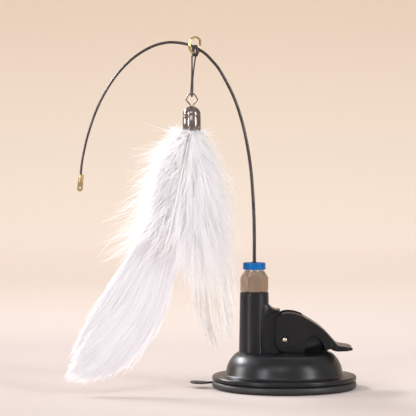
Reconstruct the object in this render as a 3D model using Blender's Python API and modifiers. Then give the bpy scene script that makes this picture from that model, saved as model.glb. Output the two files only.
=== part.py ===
"""Suction cup feather wand: a lever-locked suction base, a bent spring rod and a hanging tassel.

Blender 4.5, metres, +Z up. The origin is under the middle of the suction pad, on the
surface that the toy stands on. +X runs from the post towards the lever, +Y to the back.
Run with: blender --background --python part.py
"""
import math

import bmesh
import bpy
from mathutils import Matrix, Vector

MM = 0.001

# Clearances shared by all pieces
SEAT_GAP = 0.3 * MM        # between pieces that rest on each other
SLIDE_GAP = 0.3 * MM       # between pieces that slide past each other
PIN_GAP = 0.15 * MM        # round a pin, a rod or a wire in its hole
CUT_OVERRUN = 3.0 * MM     # how far a cutter runs past what it cuts
SINK = 0.6 * MM            # how deep joined shapes of one piece reach into each other
WELD = 0.01 * MM           # points of a turned shape this close become one
FINE_WELD = 0.001 * MM

# Suction pad
PAD_RADIUS = 36.0 * MM
PAD_THICKNESS = 4.1 * MM
PAD_LIP_WIDTH = 8.5 * MM
PAD_EDGE_ROUND = 0.9 * MM
PAD_FLAT_RADIUS = 17.0 * MM
PAD_FLOOR = 3.0 * MM       # rubber under the stem's plate
PAD_BOSS_RADIUS = 11.5 * MM
PAD_BOSS_COVER = 1.6 * MM  # rubber over the stem's plate
TAB_LENGTH = 11.2 * MM
TAB_WIDTH = 9.4 * MM
TAB_NECK_WIDTH = 5.0 * MM
TAB_THICKNESS = 1.1 * MM
TAB_HEIGHT = 2.9 * MM      # middle of the tab above the surface

# Lock: the lever's cam lifts the stem and the pad's middle by the stroke
LOCK_STROKE = 1.0 * MM
LEVER_TURN = math.radians(48.0)
CAM_HEIGHT = 6.2 * MM      # from the pin's axis to the cam's flat when locked
CAM_GAP = 0.2 * MM

# Pull stem
STEM_PLATE_RADIUS = 8.0 * MM
STEM_PLATE_THICKNESS = 1.6 * MM
STEM_NECK_RADIUS = 2.9 * MM
STEM_WIDTH = 8.0 * MM
STEM_DEPTH = 6.0 * MM

# Base housing
FLANGE_THICKNESS = 2.0 * MM
FLANGE_ROUND = 0.8 * MM
FLANGE_WIDTH = 6.4 * MM    # flange outside the foot of the dome
DOME_RISE = 11.8 * MM
HOUSING_WALL = 2.2 * MM
FOOT_BEAD = 0.35 * MM
# radius as a share of the foot radius, height as a share of the dome's rise
DOME_SHARES = [
    (0.700, 1.000), (0.760, 0.985), (0.806, 0.940), (0.848, 0.860), (0.881, 0.763),
    (0.909, 0.670), (0.929, 0.585), (0.949, 0.480), (0.964, 0.380), (0.975, 0.270),
    (0.985, 0.170),
]

# Post that carries the rod's fitting
POST_OFFSET = 15.0 * MM
POST_TOP = 48.0 * MM
POST_TOP_RADIUS = 7.15 * MM
POST_FOOT_RADIUS = 7.65 * MM
POST_ROUND = 0.5 * MM

# Web between the lever's cheeks and the roof over the lever's end
WEB_HALF_WIDTH = 5.4 * MM
WEB_CREST = 12.0 * MM      # top of the web over the pin's axis
WEB_CREST_START = 50.0     # bearings in degrees between which the crest is round
WEB_CREST_END = 97.0
ROOF_HALF_WIDTH = 6.0 * MM
ROOF_TOP = 41.9 * MM
ROOF_END = 2.2 * MM        # left of the pin's axis
ROOF_END_TOP = 39.3 * MM
POCKET_WALL = 11.4 * MM    # left of the pin's axis
SWEEP_GAP = 0.6 * MM

# Lever, measured from the pin's axis
LEVER_REACH = 33.8 * MM
LEVER_CROWN = 14.0 * MM
LEVER_HALF_WIDTH = 8.2 * MM
LEVER_SKIN = 2.4 * MM
LEVER_ROUND = 0.3 * MM
LEVER_HEEL = 4.45 * MM     # left edge of the cheeks
TAB_HALF_WIDTH = 10.0 * MM
LEVER_TAB_LENGTH = 10.4 * MM
LEVER_TAB_CORNER = 4.5 * MM
# outline over the top, from the heel to the tab's end, as shares of reach and crown
LEVER_TOP_SHARES = [
    (-0.132, 0.710), (-0.112, 0.830), (-0.062, 0.930), (-0.010, 0.985), (0.056, 1.000),
    (0.130, 0.985), (0.204, 0.943), (0.293, 0.836), (0.399, 0.686), (0.497, 0.543),
    (0.589, 0.429), (0.648, 0.257), (0.700, 0.100), (0.743, -0.050), (0.793, -0.150),
    (0.873, -0.180),
]
LEVER_TIP_SHARES = [(0.950, -0.235), (0.985, -0.275), (1.000, -0.321), (0.982, -0.370)]
# back along the underside: tab, finger arch and the inner foot of the arch
LEVER_UNDER_SHARES = [
    (0.843, -0.414), (0.746, -0.393), (0.680, -0.330), (0.654, -0.221), (0.607, -0.029),
    (0.547, 0.114), (0.479, 0.193), (0.411, 0.186), (0.340, 0.086), (0.302, -0.079),
    (0.299, -0.300),
]

# Lever pin
PIN_RADIUS = 1.25 * MM
PIN_RECESS = 0.35 * MM
PIN_SINK_RADIUS = 2.0 * MM
PIN_SINK_DEPTH = 0.7 * MM

# Push-in fitting on the post
HEX_FLATS = 12.0 * MM
HEX_HEIGHT = 10.2 * MM
HEX_CHAMFER = 2.3 * MM
HEX_FOOT_CHAMFER = 0.5 * MM
FITTING_MOUTH_RADIUS = 5.0 * MM
SHANK_RADIUS = 3.2 * MM
SHANK_LENGTH = 6.0 * MM
FITTING_BORE = 3.6 * MM
FITTING_FLOOR = 2.0 * MM   # metal left under the bore, above the hex's foot
ROD_SOCKET_DEPTH = 3.0 * MM
SEAL_WIRE = 0.55 * MM
SEAL_RADIUS = 2.75 * MM
COLLET_RADIUS = 3.25 * MM
COLLET_BORE = 2.2 * MM
COLLET_LENGTH = 3.9 * MM
COLLET_SLIT = 0.5 * MM
COLLET_SLIT_SHARE = 0.6
RING_BODY_RADIUS = 4.9 * MM
RING_BODY_HEIGHT = 1.3 * MM
RING_GROOVE = 0.3 * MM

# Release collar
COLLAR_RADIUS = 5.4 * MM
COLLAR_LIP_RADIUS = 5.7 * MM
COLLAR_LIP_HEIGHT = 0.9 * MM
COLLAR_HEIGHT = 3.4 * MM
COLLAR_TOP_WALL = 1.3 * MM
COLLAR_TRAVEL = 0.6 * MM
COLLAR_TUBE_WALL = 0.7 * MM
COLLAR_ROUND = 0.5 * MM
COLLAR_REST_GAP = 0.8 * MM  # collar's foot above the hex

# Rod and the sleeve that the collet grips
SLEEVE_RADIUS = 2.0 * MM
SLEEVE_TOP_DROP = 0.9 * MM
ROD_RADIUS = 0.8 * MM
ROD_TIP_SHARE = 0.66       # tip radius as a share of the rod's own
ROD_SPAN = 86.5 * MM       # post axis to the rod's far end, sideways
ROD_CROWN = 109.6 * MM     # collar's top to the top of the arch
# sideways as a share of the span, height over the collar as a share of the crown
ROD_SHARES = [
    (0.000, 0.000), (0.000, 0.098), (0.002, 0.207), (0.009, 0.317), (0.021, 0.426),
    (0.042, 0.536), (0.073, 0.645), (0.120, 0.755), (0.192, 0.864), (0.242, 0.915),
    (0.298, 0.957), (0.385, 0.990), (0.4705, 1.000), (0.528, 0.995), (0.585, 0.982),
    (0.643, 0.958), (0.701, 0.926), (0.757, 0.884), (0.807, 0.837), (0.852, 0.782),
    (0.889, 0.727), (0.919, 0.672), (0.943, 0.618), (0.964, 0.563), (0.980, 0.508),
    (0.993, 0.453), (1.000, 0.399),
]

# Crimp with an eyelet on the rod's tip
CRIMP_RADIUS = 1.35 * MM
CRIMP_BARREL = 3.6 * MM
CRIMP_GRIP = 3.0 * MM      # rod inside the barrel
CRIMP_TONGUE = 4.6 * MM
CRIMP_TONGUE_WIDTH = 2.7 * MM
CRIMP_TONGUE_THICKNESS = 0.9 * MM
CRIMP_EYE_RADIUS = 0.5 * MM
CRIMP_EYE_SHARE = 0.4      # eye's place along the tongue

# Split ring on the rod
RING_RADIUS = 4.2 * MM
RING_WIRE = 0.4 * MM
RING_PITCH = 1.2 * MM
RING_TURNS = 2
RING_PLACE_SHARE = 0.341   # sideways place, as a share of the rod's span
RING_RISE = 1.3 * MM       # ring's middle above the rod
RING_YAW = math.radians(48.0)

# Hanger cord: its hitch round rod and ring, and the loop that holds the tassel
CORD_RADIUS = 0.375 * MM
HITCH_HALF_WIDTH = 2.5 * MM
HITCH_PITCH = 1.2 * MM
HITCH_TURNS = 2
HITCH_YAW = math.radians(24.0)
LOOP_BEND = 1.05 * MM      # radius of the loop where it passes under the eye's wire
HANGER_DROP = 18.39 * MM   # from the hitch to the middle of the eye's top wire
# the loop from one end at the hitch, through the eye, to the other end: sideways, back and
# up as shares of the bend, and up as a share of the drop, all from the eye's top wire
HANGER_SHARES = [
    (0.143, 0.000, 0.000, 0.9869), (0.143, 0.190, 0.000, 0.7287), (0.095, 0.429, 0.000, 0.4568),
    (0.000, 0.571, 0.000, 0.2393), (-0.095, 0.762, 0.000, 0.1305), (-0.095, 0.952, 0.857, 0.0000),
    (-0.048, 1.000, 0.000, 0.0000), (0.143, 0.724, -0.686, 0.0000), (0.429, 0.000, -1.000, 0.0000),
    (0.714, -0.724, -0.686, 0.0000), (0.905, -1.000, 0.000, 0.0000), (0.952, -0.952, 0.857, 0.0000),
    (0.952, -0.762, 0.000, 0.1305), (0.810, -0.571, 0.000, 0.2393), (0.714, -0.524, 0.000, 0.4568),
    (1.143, -0.190, 0.000, 0.7287), (1.810, 0.000, 0.000, 0.9869),
]

# Tassel: wire eye, cap, glue plug and feathers
TASSEL_OFFSET = 1.7 * MM   # tassel's axis to the left of the split ring
EYE_RADIUS = 2.7 * MM
EYE_WIRE = 0.35 * MM
EYE_SHAFT = 6.6 * MM
EYE_LEG = 0.4 * MM
CAP_RADIUS = 4.5 * MM
CAP_HEIGHT = 12.0 * MM
CAP_DOME = 4.0 * MM
CAP_WALL = 0.6 * MM
CAP_GROOVE = 0.2 * MM
CAP_GROOVE_WIDTH = 0.5 * MM
PLUG_LENGTH = 5.0 * MM

PLUME_TOP_RADIUS = 3.6 * MM
PLUME_LEFT = 36.0 * MM     # reach of the down, to the left of the tassel's axis
PLUME_CLEARANCE = 9.2 * MM  # kept free round the post's axis, on the right
PLUME_DEPTH = 21.0 * MM    # reach to the front and to the back
PLUME_DROP = 84.0 * MM
PLUME_THICKNESS = 1.5 * MM
PLUME_GAP = math.radians(10.0)
# reach as a share of the widest, drop as a share of the plume's own, to the left and right
PLUME_LEFT_SHARES = [
    (0.00, 0.000), (0.24, 0.035), (0.41, 0.080), (0.53, 0.150), (0.62, 0.240),
    (0.69, 0.350), (0.76, 0.470), (0.84, 0.600), (0.92, 0.740), (0.98, 0.880),
    (1.00, 1.000),
]
PLUME_RIGHT_SHARES = [
    (0.00, 0.000), (0.24, 0.035), (0.38, 0.080), (0.53, 0.150), (0.70, 0.240),
    (0.83, 0.350), (0.92, 0.470), (0.98, 0.600), (1.00, 0.740), (0.98, 0.880),
    (0.93, 1.000),
]
# name, first and last bearing as shares of a full turn, reach share, drop share
PLUME_SECTOR_SHARES = [
    ("plume_right", -0.1361, 0.1361, 1.00, 0.98),
    ("plume_back", 0.1361, 0.3111, 1.00, 0.74),
    ("plume_left_back", 0.3111, 0.5111, 1.00, 0.76),
    ("plume_left_front", 0.5111, 0.6833, 1.00, 0.74),
    ("plume_front", 0.6833, 0.8639, 0.96, 0.90),
]

FEATHER_DROP = 124.0 * MM  # cap's mouth to the lowest feather tip
FEATHER_REACH = 64.0 * MM  # tassel's axis to the furthest tip, sideways
FEATHER_THICKNESS = 0.7 * MM
FEATHER_WIDTH = 26.0 * MM
FEATHER_CUP_SHARE = 0.10
# Each feather's line of quill: sideways and back as shares of the reach, drop as a share
# of the drop, and the vane's width as a share of the feather width
LEFT_FRONT_SHARES = [
    (-0.014, -0.014, 0.000, 0.040), (-0.050, -0.020, 0.140, 0.050),
    (-0.125, -0.040, 0.300, 0.060), (-0.215, -0.090, 0.450, 0.260),
    (-0.300, -0.170, 0.580, 0.720), (-0.420, -0.270, 0.720, 0.980),
    (-0.600, -0.370, 0.840, 1.000), (-0.790, -0.440, 0.930, 0.900),
    (-0.925, -0.480, 0.975, 0.600), (-0.985, -0.490, 0.990, 0.220),
]
LEFT_BACK_SHARES = [
    (-0.016, 0.012, 0.000, 0.040), (-0.080, 0.010, 0.140, 0.050),
    (-0.180, -0.010, 0.300, 0.060), (-0.300, -0.040, 0.450, 0.090),
    (-0.430, -0.090, 0.580, 0.300), (-0.585, -0.150, 0.700, 0.560),
    (-0.745, -0.210, 0.800, 0.560), (-0.875, -0.250, 0.870, 0.340),
    (-0.950, -0.270, 0.905, 0.100),
]
RIGHT_BACK_SHARES = [
    (0.016, 0.006, 0.000, 0.040), (0.050, 0.050, 0.140, 0.050),
    (0.090, 0.110, 0.300, 0.060), (0.120, 0.170, 0.450, 0.120),
    (0.110, 0.240, 0.600, 0.500), (0.140, 0.300, 0.740, 0.780),
    (0.185, 0.345, 0.850, 0.620), (0.215, 0.365, 0.910, 0.300),
    (0.225, 0.370, 0.930, 0.100),
]

# Smoothness
ROUND_STEPS = 96
POST_STEPS = 48
SMALL_STEPS = 32

# Heights and places that follow from the sizes above
POST_X = -POST_OFFSET
PAD_TOP = PAD_THICKNESS
PLATE_BOTTOM = LOCK_STROKE + PAD_FLOOR + SEAT_GAP
PLATE_TOP = PLATE_BOTTOM + STEM_PLATE_THICKNESS
PAD_BOSS_TOP = PLATE_TOP + SEAT_GAP + PAD_BOSS_COVER
FLANGE_BOTTOM = PAD_TOP + SEAT_GAP
FLANGE_RADIUS = PAD_RADIUS
FOOT_RADIUS = FLANGE_RADIUS - FLANGE_WIDTH
FLANGE_TOP = FLANGE_BOTTOM + FLANGE_THICKNESS
DOME_TOP = FLANGE_TOP + DOME_RISE
PIN_Z = DOME_TOP + CAM_GAP + CAM_HEIGHT
CAM_RATE = LOCK_STROKE / LEVER_TURN
LEVER_SWEEP = LEVER_CROWN + SWEEP_GAP
LEVER_TAB_START = LEVER_REACH - LEVER_TAB_LENGTH
HEX_BOTTOM = POST_TOP + SEAT_GAP
HEX_TOP = HEX_BOTTOM + HEX_HEIGHT
HEX_CORNERS = HEX_FLATS / math.cos(math.pi / 6)
BORE_FLOOR = HEX_BOTTOM + FITTING_FLOOR
COLLAR_BOTTOM = HEX_TOP + COLLAR_REST_GAP
COLLAR_TOP = COLLAR_BOTTOM + COLLAR_HEIGHT
COLLAR_BORE = SLEEVE_RADIUS + PIN_GAP
COLLET_BOTTOM = BORE_FLOOR + SEAT_GAP + 2 * SEAL_WIRE + SEAT_GAP
COLLET_TOP = COLLET_BOTTOM + COLLET_LENGTH
PLUME_RIGHT = ROD_SPAN * RING_PLACE_SHARE + TASSEL_OFFSET - PLUME_CLEARANCE

COLOURS = {
    "rubber": ((0.020, 0.020, 0.022), 0.0, 0.55),
    "black_plastic": ((0.014, 0.014, 0.016), 0.0, 0.38),
    "grey_plastic": ((0.060, 0.060, 0.065), 0.0, 0.50),
    "nickel": ((0.560, 0.530, 0.490), 1.0, 0.22),
    "brass": ((0.720, 0.540, 0.290), 1.0, 0.25),
    "pin_steel": ((0.620, 0.560, 0.460), 1.0, 0.30),
    "blue_plastic": ((0.004, 0.150, 0.430), 0.0, 0.35),
    "rod_steel": ((0.070, 0.062, 0.066), 0.6, 0.28),
    "cord": ((0.045, 0.030, 0.040), 0.0, 0.85),
    "glue": ((0.640, 0.560, 0.420), 0.0, 0.45),
    "feather": ((0.880, 0.850, 0.870), 0.0, 0.80),
    "down": ((0.900, 0.870, 0.890), 0.0, 0.90),
}


def clear_scene():
    """Start from nothing but keep the file open."""
    for old in list(bpy.data.objects):
        bpy.data.objects.remove(old, do_unlink=True)


def new_collection(name):
    """A collection linked to the scene."""
    made = bpy.data.collections.new(name)
    bpy.context.scene.collection.children.link(made)
    return made


clear_scene()
PARTS = new_collection("suction_cup_feather_wand")
CUTTERS = new_collection("cutters")


def material(name):
    """Principled material of one of the toy's finishes, made once."""
    found = bpy.data.materials.get(name)
    if found:
        return found
    colour, metallic, roughness = COLOURS[name]
    made = bpy.data.materials.new(name)
    made.use_nodes = True
    shader = made.node_tree.nodes["Principled BSDF"]
    shader.inputs["Base Color"].default_value = (*colour, 1.0)
    shader.inputs["Metallic"].default_value = metallic
    shader.inputs["Roughness"].default_value = roughness
    return made


def new_object(name, data, finish=None):
    """A piece of the toy if it has a finish, a cutter or a shape to be joined if not."""
    made = bpy.data.objects.new(name, data)
    if finish is None:
        CUTTERS.objects.link(made)
        made.hide_render = True
        made.display_type = "WIRE"
        return made
    PARTS.objects.link(made)
    data.materials.append(material(finish))
    return made


def empty(name, place, parent=None):
    """An empty on a joint's axis, at a place in the toy's frame."""
    made = bpy.data.objects.new(name, None)
    PARTS.objects.link(made)
    made.location = place
    if parent:
        carry(made, parent)
    return made


def carry(piece, parent):
    """Parent a piece to an empty and leave it where it is. The empties are never turned."""
    piece.parent = parent
    piece.matrix_parent_inverse = Matrix.Translation(-world_place(parent))
    return piece


def world_place(thing):
    """World place of an unturned empty, read down its chain of parents."""
    place = Matrix.Identity(4)
    while thing:
        place = thing.matrix_parent_inverse @ Matrix.Translation(thing.location) @ place
        thing = thing.parent
    return place.to_translation()


def smooth(mesh, angle=math.radians(35.0)):
    """Shade round surfaces smooth and keep real edges sharp."""
    mesh.shade_smooth()
    mesh.set_sharp_from_angle(angle=angle)


def turned(name, profile, finish=None, steps=SMALL_STEPS, place=(0.0, 0.0, 0.0), closed=False):
    """A turned shape: a profile of (radius, height) that runs down its outer side."""
    mesh = bpy.data.meshes.new(name)
    edges = [(i, i + 1) for i in range(len(profile) - 1)]
    if closed:
        edges.append((len(profile) - 1, 0))
    mesh.from_pydata([(r, 0.0, z) for r, z in profile], edges, [])
    made = new_object(name, mesh, finish)
    made.location = place
    screw = made.modifiers.new("turn", "SCREW")
    screw.steps = steps
    screw.render_steps = steps
    screw.use_merge_vertices = True
    screw.merge_threshold = WELD
    screw.use_smooth_shade = True
    return made


def arc(centre, radii, start, end, count):
    """Points of an elliptic arc in a plane, from a start to an end bearing in degrees."""
    points = []
    for i in range(count + 1):
        a = math.radians(start + (end - start) * i / count)
        points.append((centre[0] + radii[0] * math.cos(a), centre[1] + radii[1] * math.sin(a)))
    return points


def made_mesh(curve_object, name, finish=None):
    """Turn a curve object into a closed mesh object in the same place."""
    bpy.context.view_layer.update()
    graph = bpy.context.evaluated_depsgraph_get()
    mesh = bpy.data.meshes.new_from_object(curve_object.evaluated_get(graph))
    welded = bmesh.new()
    welded.from_mesh(mesh)
    bmesh.ops.remove_doubles(welded, verts=welded.verts, dist=FINE_WELD)
    welded.to_mesh(mesh)
    welded.free()
    mesh.materials.clear()
    made = new_object(name, mesh, finish)
    made.matrix_world = curve_object.matrix_world
    bpy.data.objects.remove(curve_object, do_unlink=True)
    return made


def plate(name, outline, half, finish=None, upright=True):
    """A flat outline with thickness to both sides of its plane.

    Upright outlines hold (x, z) and run along Y, flat ones hold (x, y) and run along Z.
    """
    curve = bpy.data.curves.new(name + "_outline", "CURVE")
    curve.dimensions = "2D"
    curve.fill_mode = "BOTH"
    curve.extrude = half
    spline = curve.splines.new("POLY")
    spline.points.add(len(outline) - 1)
    for point, (a, b) in zip(spline.points, outline):
        point.co = (a, b, 0.0, 1.0)
    spline.use_cyclic_u = True
    holder = new_object(name + "_outline", curve)
    if upright:
        holder.rotation_euler = (math.pi / 2, 0.0, 0.0)
    return made_mesh(holder, name, finish)


def moved(piece, place):
    """Shift a piece by a place."""
    piece.location = Vector(piece.location) + Vector(place)
    return piece


def box(name, low, high, finish=None):
    """A box between two corners."""
    low, high = Vector(low), Vector(high)
    bm = bmesh.new()
    bmesh.ops.create_cube(bm, size=1.0)
    bmesh.ops.scale(bm, vec=high - low, verts=bm.verts)
    mesh = bpy.data.meshes.new(name)
    bm.to_mesh(mesh)
    bm.free()
    made = new_object(name, mesh, finish)
    made.location = (low + high) / 2
    return made


def rod_between(name, radius, start, end, finish=None, steps=SMALL_STEPS):
    """A straight round bar between two places."""
    start, end = Vector(start), Vector(end)
    bm = bmesh.new()
    bmesh.ops.create_cone(bm, cap_ends=True, segments=steps, radius1=radius,
                          radius2=radius, depth=(end - start).length)
    mesh = bpy.data.meshes.new(name)
    bm.to_mesh(mesh)
    bm.free()
    smooth(mesh)
    made = new_object(name, mesh, finish)
    made.rotation_euler = (end - start).to_track_quat("Z", "Y").to_euler()
    made.location = (start + end) / 2
    return made


def boolean(piece, other, operation):
    """Cut, join or trim a piece with another shape."""
    change = piece.modifiers.new(other.name, "BOOLEAN")
    change.operation = operation
    change.object = other
    return piece


def cut(piece, cutter):
    return boolean(piece, cutter, "DIFFERENCE")


def join(piece, other):
    return boolean(piece, other, "UNION")


def round_edges(piece, width, angle=math.radians(40.0)):
    """Small rounded edges."""
    bevel = piece.modifiers.new("edges", "BEVEL")
    bevel.width = width
    bevel.segments = 2
    bevel.limit_method = "ANGLE"
    bevel.angle_limit = angle
    return piece


def wire(name, points, radius, finish, sides=2, shares=None):
    """A bent wire: a poly spline with a round section, whose radius may follow shares."""
    curve = bpy.data.curves.new(name, "CURVE")
    curve.dimensions = "3D"
    curve.bevel_depth = radius
    curve.bevel_resolution = sides
    curve.use_fill_caps = True
    spline = curve.splines.new("POLY")
    spline.points.add(len(points) - 1)
    for i, (point, place) in enumerate(zip(spline.points, points)):
        point.co = (*place, 1.0)
        point.radius = shares[i] if shares else 1.0
    spline.use_smooth = True
    return new_object(name, curve, finish)


def flowing(points, per_span):
    """Points on a smooth curve through the given ones (Catmull-Rom)."""
    points = [Vector(p) for p in points]
    ends = [2 * points[0] - points[1], *points, 2 * points[-1] - points[-2]]
    out = []
    for i in range(1, len(ends) - 2):
        a, b, c, d = ends[i - 1:i + 3]
        for k in range(per_span):
            t = k / per_span
            out.append(0.5 * (2 * b + (c - a) * t + (2 * a - 5 * b + 4 * c - d) * t * t
                              + (3 * b - a - 3 * c + d) * t ** 3))
    out.append(points[-1])
    return out


def table_value(table, along, column):
    """Value of one column of a table at a share of its length, smoothly between rows."""
    rows = flowing([(row[column], 0.0, 0.0) for row in table], 8)
    at = along * (len(rows) - 1)
    low = min(int(at), len(rows) - 2)
    return rows[low].x + (rows[low + 1].x - rows[low].x) * (at - low)


def suction_pad():
    """Rubber disc with a lip, a lifted middle, a pocket for the stem's plate and a pull tab."""
    lip_inner = PAD_RADIUS - PAD_LIP_WIDTH
    pocket = STEM_PLATE_RADIUS + SEAT_GAP
    hole = STEM_NECK_RADIUS + SLIDE_GAP
    edge = arc((PAD_RADIUS - PAD_EDGE_ROUND, PAD_TOP - PAD_EDGE_ROUND),
               (PAD_EDGE_ROUND, PAD_EDGE_ROUND), 90, 0, 4)
    foot = arc((PAD_RADIUS - PAD_EDGE_ROUND, PAD_EDGE_ROUND),
               (PAD_EDGE_ROUND, PAD_EDGE_ROUND), 0, -90, 4)
    profile = [
        (0.0, PLATE_BOTTOM - SEAT_GAP), (pocket, PLATE_BOTTOM - SEAT_GAP),
        (pocket, PLATE_TOP + SEAT_GAP), (hole, PLATE_TOP + SEAT_GAP), (hole, PAD_BOSS_TOP),
        (PAD_BOSS_RADIUS - PAD_BOSS_COVER, PAD_BOSS_TOP),
        (PAD_BOSS_RADIUS, PAD_BOSS_TOP - PAD_BOSS_COVER),
        (PAD_FLAT_RADIUS, PAD_TOP), *edge, *foot,
        (lip_inner, 0.0), (PAD_FLAT_RADIUS, LOCK_STROKE), (0.0, LOCK_STROKE),
    ]
    pad = turned("suction_pad", profile, "rubber", ROUND_STEPS)
    neck_end = PAD_RADIUS + TAB_LENGTH / 3
    oval = arc((-(PAD_RADIUS + TAB_LENGTH * 5 / 8), 0.0),
               (TAB_LENGTH * 3 / 8, TAB_WIDTH / 2), 0, 360, 24)[:-1]
    tab = moved(plate("pull_tab", oval, TAB_THICKNESS / 2, upright=False),
                (0.0, 0.0, TAB_HEIGHT))
    neck = box("pull_tab_neck",
               (-neck_end, -TAB_NECK_WIDTH / 2, TAB_HEIGHT - TAB_THICKNESS / 2),
               (-(PAD_RADIUS - PAD_EDGE_ROUND - SINK), TAB_NECK_WIDTH / 2,
                TAB_HEIGHT + TAB_THICKNESS / 2))
    join(pad, neck)
    join(pad, tab)


def stem_and_pin(travel):
    """Stem with its plate in the pad, and the pin that the lever turns on."""
    head = STEM_WIDTH / 2
    plate_part = [
        (0.0, PIN_Z - head), (STEM_NECK_RADIUS, PIN_Z - head), (STEM_NECK_RADIUS, PLATE_TOP),
        (STEM_PLATE_RADIUS, PLATE_TOP), (STEM_PLATE_RADIUS, PLATE_BOTTOM), (0.0, PLATE_BOTTOM),
    ]
    stem = turned("pull_stem", plate_part, "grey_plastic", SMALL_STEPS)
    blade = [(-head, PAD_BOSS_TOP + SEAT_GAP + LOCK_STROKE),
             (head, PAD_BOSS_TOP + SEAT_GAP + LOCK_STROKE)]
    blade += arc((0.0, PIN_Z), (head, head), 0, 180, 12)
    join(stem, plate("stem_blade", blade, STEM_DEPTH / 2))
    far = LEVER_HALF_WIDTH + CUT_OVERRUN
    cut(stem, rod_between("stem_bore", PIN_RADIUS + PIN_GAP, (0.0, -far, PIN_Z), (0.0, far, PIN_Z)))
    carry(stem, travel)
    reach = LEVER_HALF_WIDTH - PIN_RECESS
    pin = rod_between("lever_pin", PIN_RADIUS, (0.0, -reach, PIN_Z), (0.0, reach, PIN_Z), "pin_steel")
    carry(round_edges(pin, PIN_GAP), travel)


def housing_shell():
    """Flange and dome, open below, over the pad."""
    top_edge = arc((FLANGE_RADIUS - FLANGE_ROUND, FLANGE_TOP - FLANGE_ROUND),
                   (FLANGE_ROUND, FLANGE_ROUND), 90, 0, 4)
    dome = [(r * FOOT_RADIUS, FLANGE_TOP + h * DOME_RISE) for r, h in DOME_SHARES]
    bead_rise = 2 * FOOT_BEAD
    bead = [(FOOT_RADIUS - FOOT_BEAD / 2, FLANGE_TOP + 3 * bead_rise / 2),
            (FOOT_RADIUS, FLANGE_TOP + bead_rise),
            (FOOT_RADIUS + FOOT_BEAD, FLANGE_TOP + bead_rise / 2),
            (FOOT_RADIUS + 3 * FOOT_BEAD, FLANGE_TOP)]
    inner_dome = [(r * FOOT_RADIUS - HOUSING_WALL, FLANGE_TOP + h * DOME_RISE - HOUSING_WALL)
                  for r, h in DOME_SHARES[::2]]
    profile = [(0.0, DOME_TOP), *dome, *bead, *top_edge, (FLANGE_RADIUS, FLANGE_BOTTOM),
               (FOOT_RADIUS - HOUSING_WALL, FLANGE_BOTTOM),
               *reversed(inner_dome), (0.0, DOME_TOP - HOUSING_WALL)]
    return turned("base_housing", profile, "black_plastic", ROUND_STEPS)


def post_shape():
    """Slightly tapered post, sunk into the dome's top wall."""
    foot = DOME_TOP - HOUSING_WALL / 2
    rim = arc((POST_TOP_RADIUS - POST_ROUND, POST_TOP - POST_ROUND),
              (POST_ROUND, POST_ROUND), 90, 0, 4)
    profile = [(0.0, POST_TOP), *rim, (POST_FOOT_RADIUS, foot), (0.0, foot)]
    return turned("post", profile, steps=POST_STEPS, place=(POST_X, 0.0, 0.0))


def roof_shape():
    """Web over the lever's end, with a hollow curve from the post to its tip."""
    left = POST_X
    start = POST_X + POST_TOP_RADIUS
    run = -ROOF_END - start
    fall = ROOF_TOP - ROOF_END_TOP
    top = [(start + run * s, ROOF_END_TOP + fall * (1 - s) ** 3) for s in (0, 0.15, 0.35, 0.6, 1)]
    outline = [(left, ROOF_TOP), *top, (-ROOF_END, PIN_Z), (left, PIN_Z)]
    return plate("roof", outline[::-1], ROOF_HALF_WIDTH)


def pocket_cutter():
    """Room that the lever's heel sweeps, cut from the post and under the roof."""
    sweep = LEVER_SWEEP
    rise = math.sqrt(sweep ** 2 - POCKET_WALL ** 2)
    corner = math.degrees(math.atan2(rise, -POCKET_WALL))
    outline = [(-POCKET_WALL, DOME_TOP), (sweep, DOME_TOP), (sweep, PIN_Z)]
    outline += arc((0.0, PIN_Z), (sweep, sweep), 15, corner, 16)
    return plate("pocket", outline, LEVER_HALF_WIDTH + CUT_OVERRUN)


def lever_chamber():
    """Ceiling of the room under the lever's spine, from the pin's axis, left to right."""
    rows = LEVER_TOP_SHARES[:11]
    return [(a * LEVER_REACH - LEVER_SKIN * i / 14, b * LEVER_CROWN - LEVER_SKIN * (1 - i / 28))
            for i, (a, b) in enumerate(rows)]


def web_shape():
    """Web from the post to the finger arch, a sweep gap inside the lever, with a round end."""
    root = POST_X + POST_OFFSET - POCKET_WALL - CUT_OVERRUN
    foot = -(PIN_Z - DOME_TOP) - HOUSING_WALL / 2
    keel = [(a * LEVER_REACH - SWEEP_GAP, b * LEVER_CROWN - SWEEP_GAP)
            for a, b in LEVER_UNDER_SHARES[3:6]]
    ceiling = lever_chamber()
    wall = (ceiling[-1][0] - SWEEP_GAP, ceiling[-1][1] - 3 * SWEEP_GAP / 2)
    under = [(x - SWEEP_GAP / 2, z - SWEEP_GAP) for x, z in reversed(ceiling[7:10])]
    crest = arc((0.0, 0.0), (WEB_CREST, WEB_CREST), WEB_CREST_START, WEB_CREST_END, 8)
    in_roof = (-ROOF_END - SINK, LEVER_SWEEP)
    reach = keel[0][0]
    outline = [(root, foot), (reach, foot), *keel, wall, *under, *crest, in_roof, (root, LEVER_SWEEP)]
    web = moved(plate("web", outline, WEB_HALF_WIDTH), (0.0, 0.0, PIN_Z))
    half = WEB_HALF_WIDTH + SINK
    end = arc((reach + SINK - half, 0.0), (half, half), -90, 90, 16)
    plan = plate("web_plan", [(root - SINK, -half), *end, (root - SINK, half)],
                 POST_TOP, upright=False)
    return boolean(web, plan, "INTERSECT")


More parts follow.
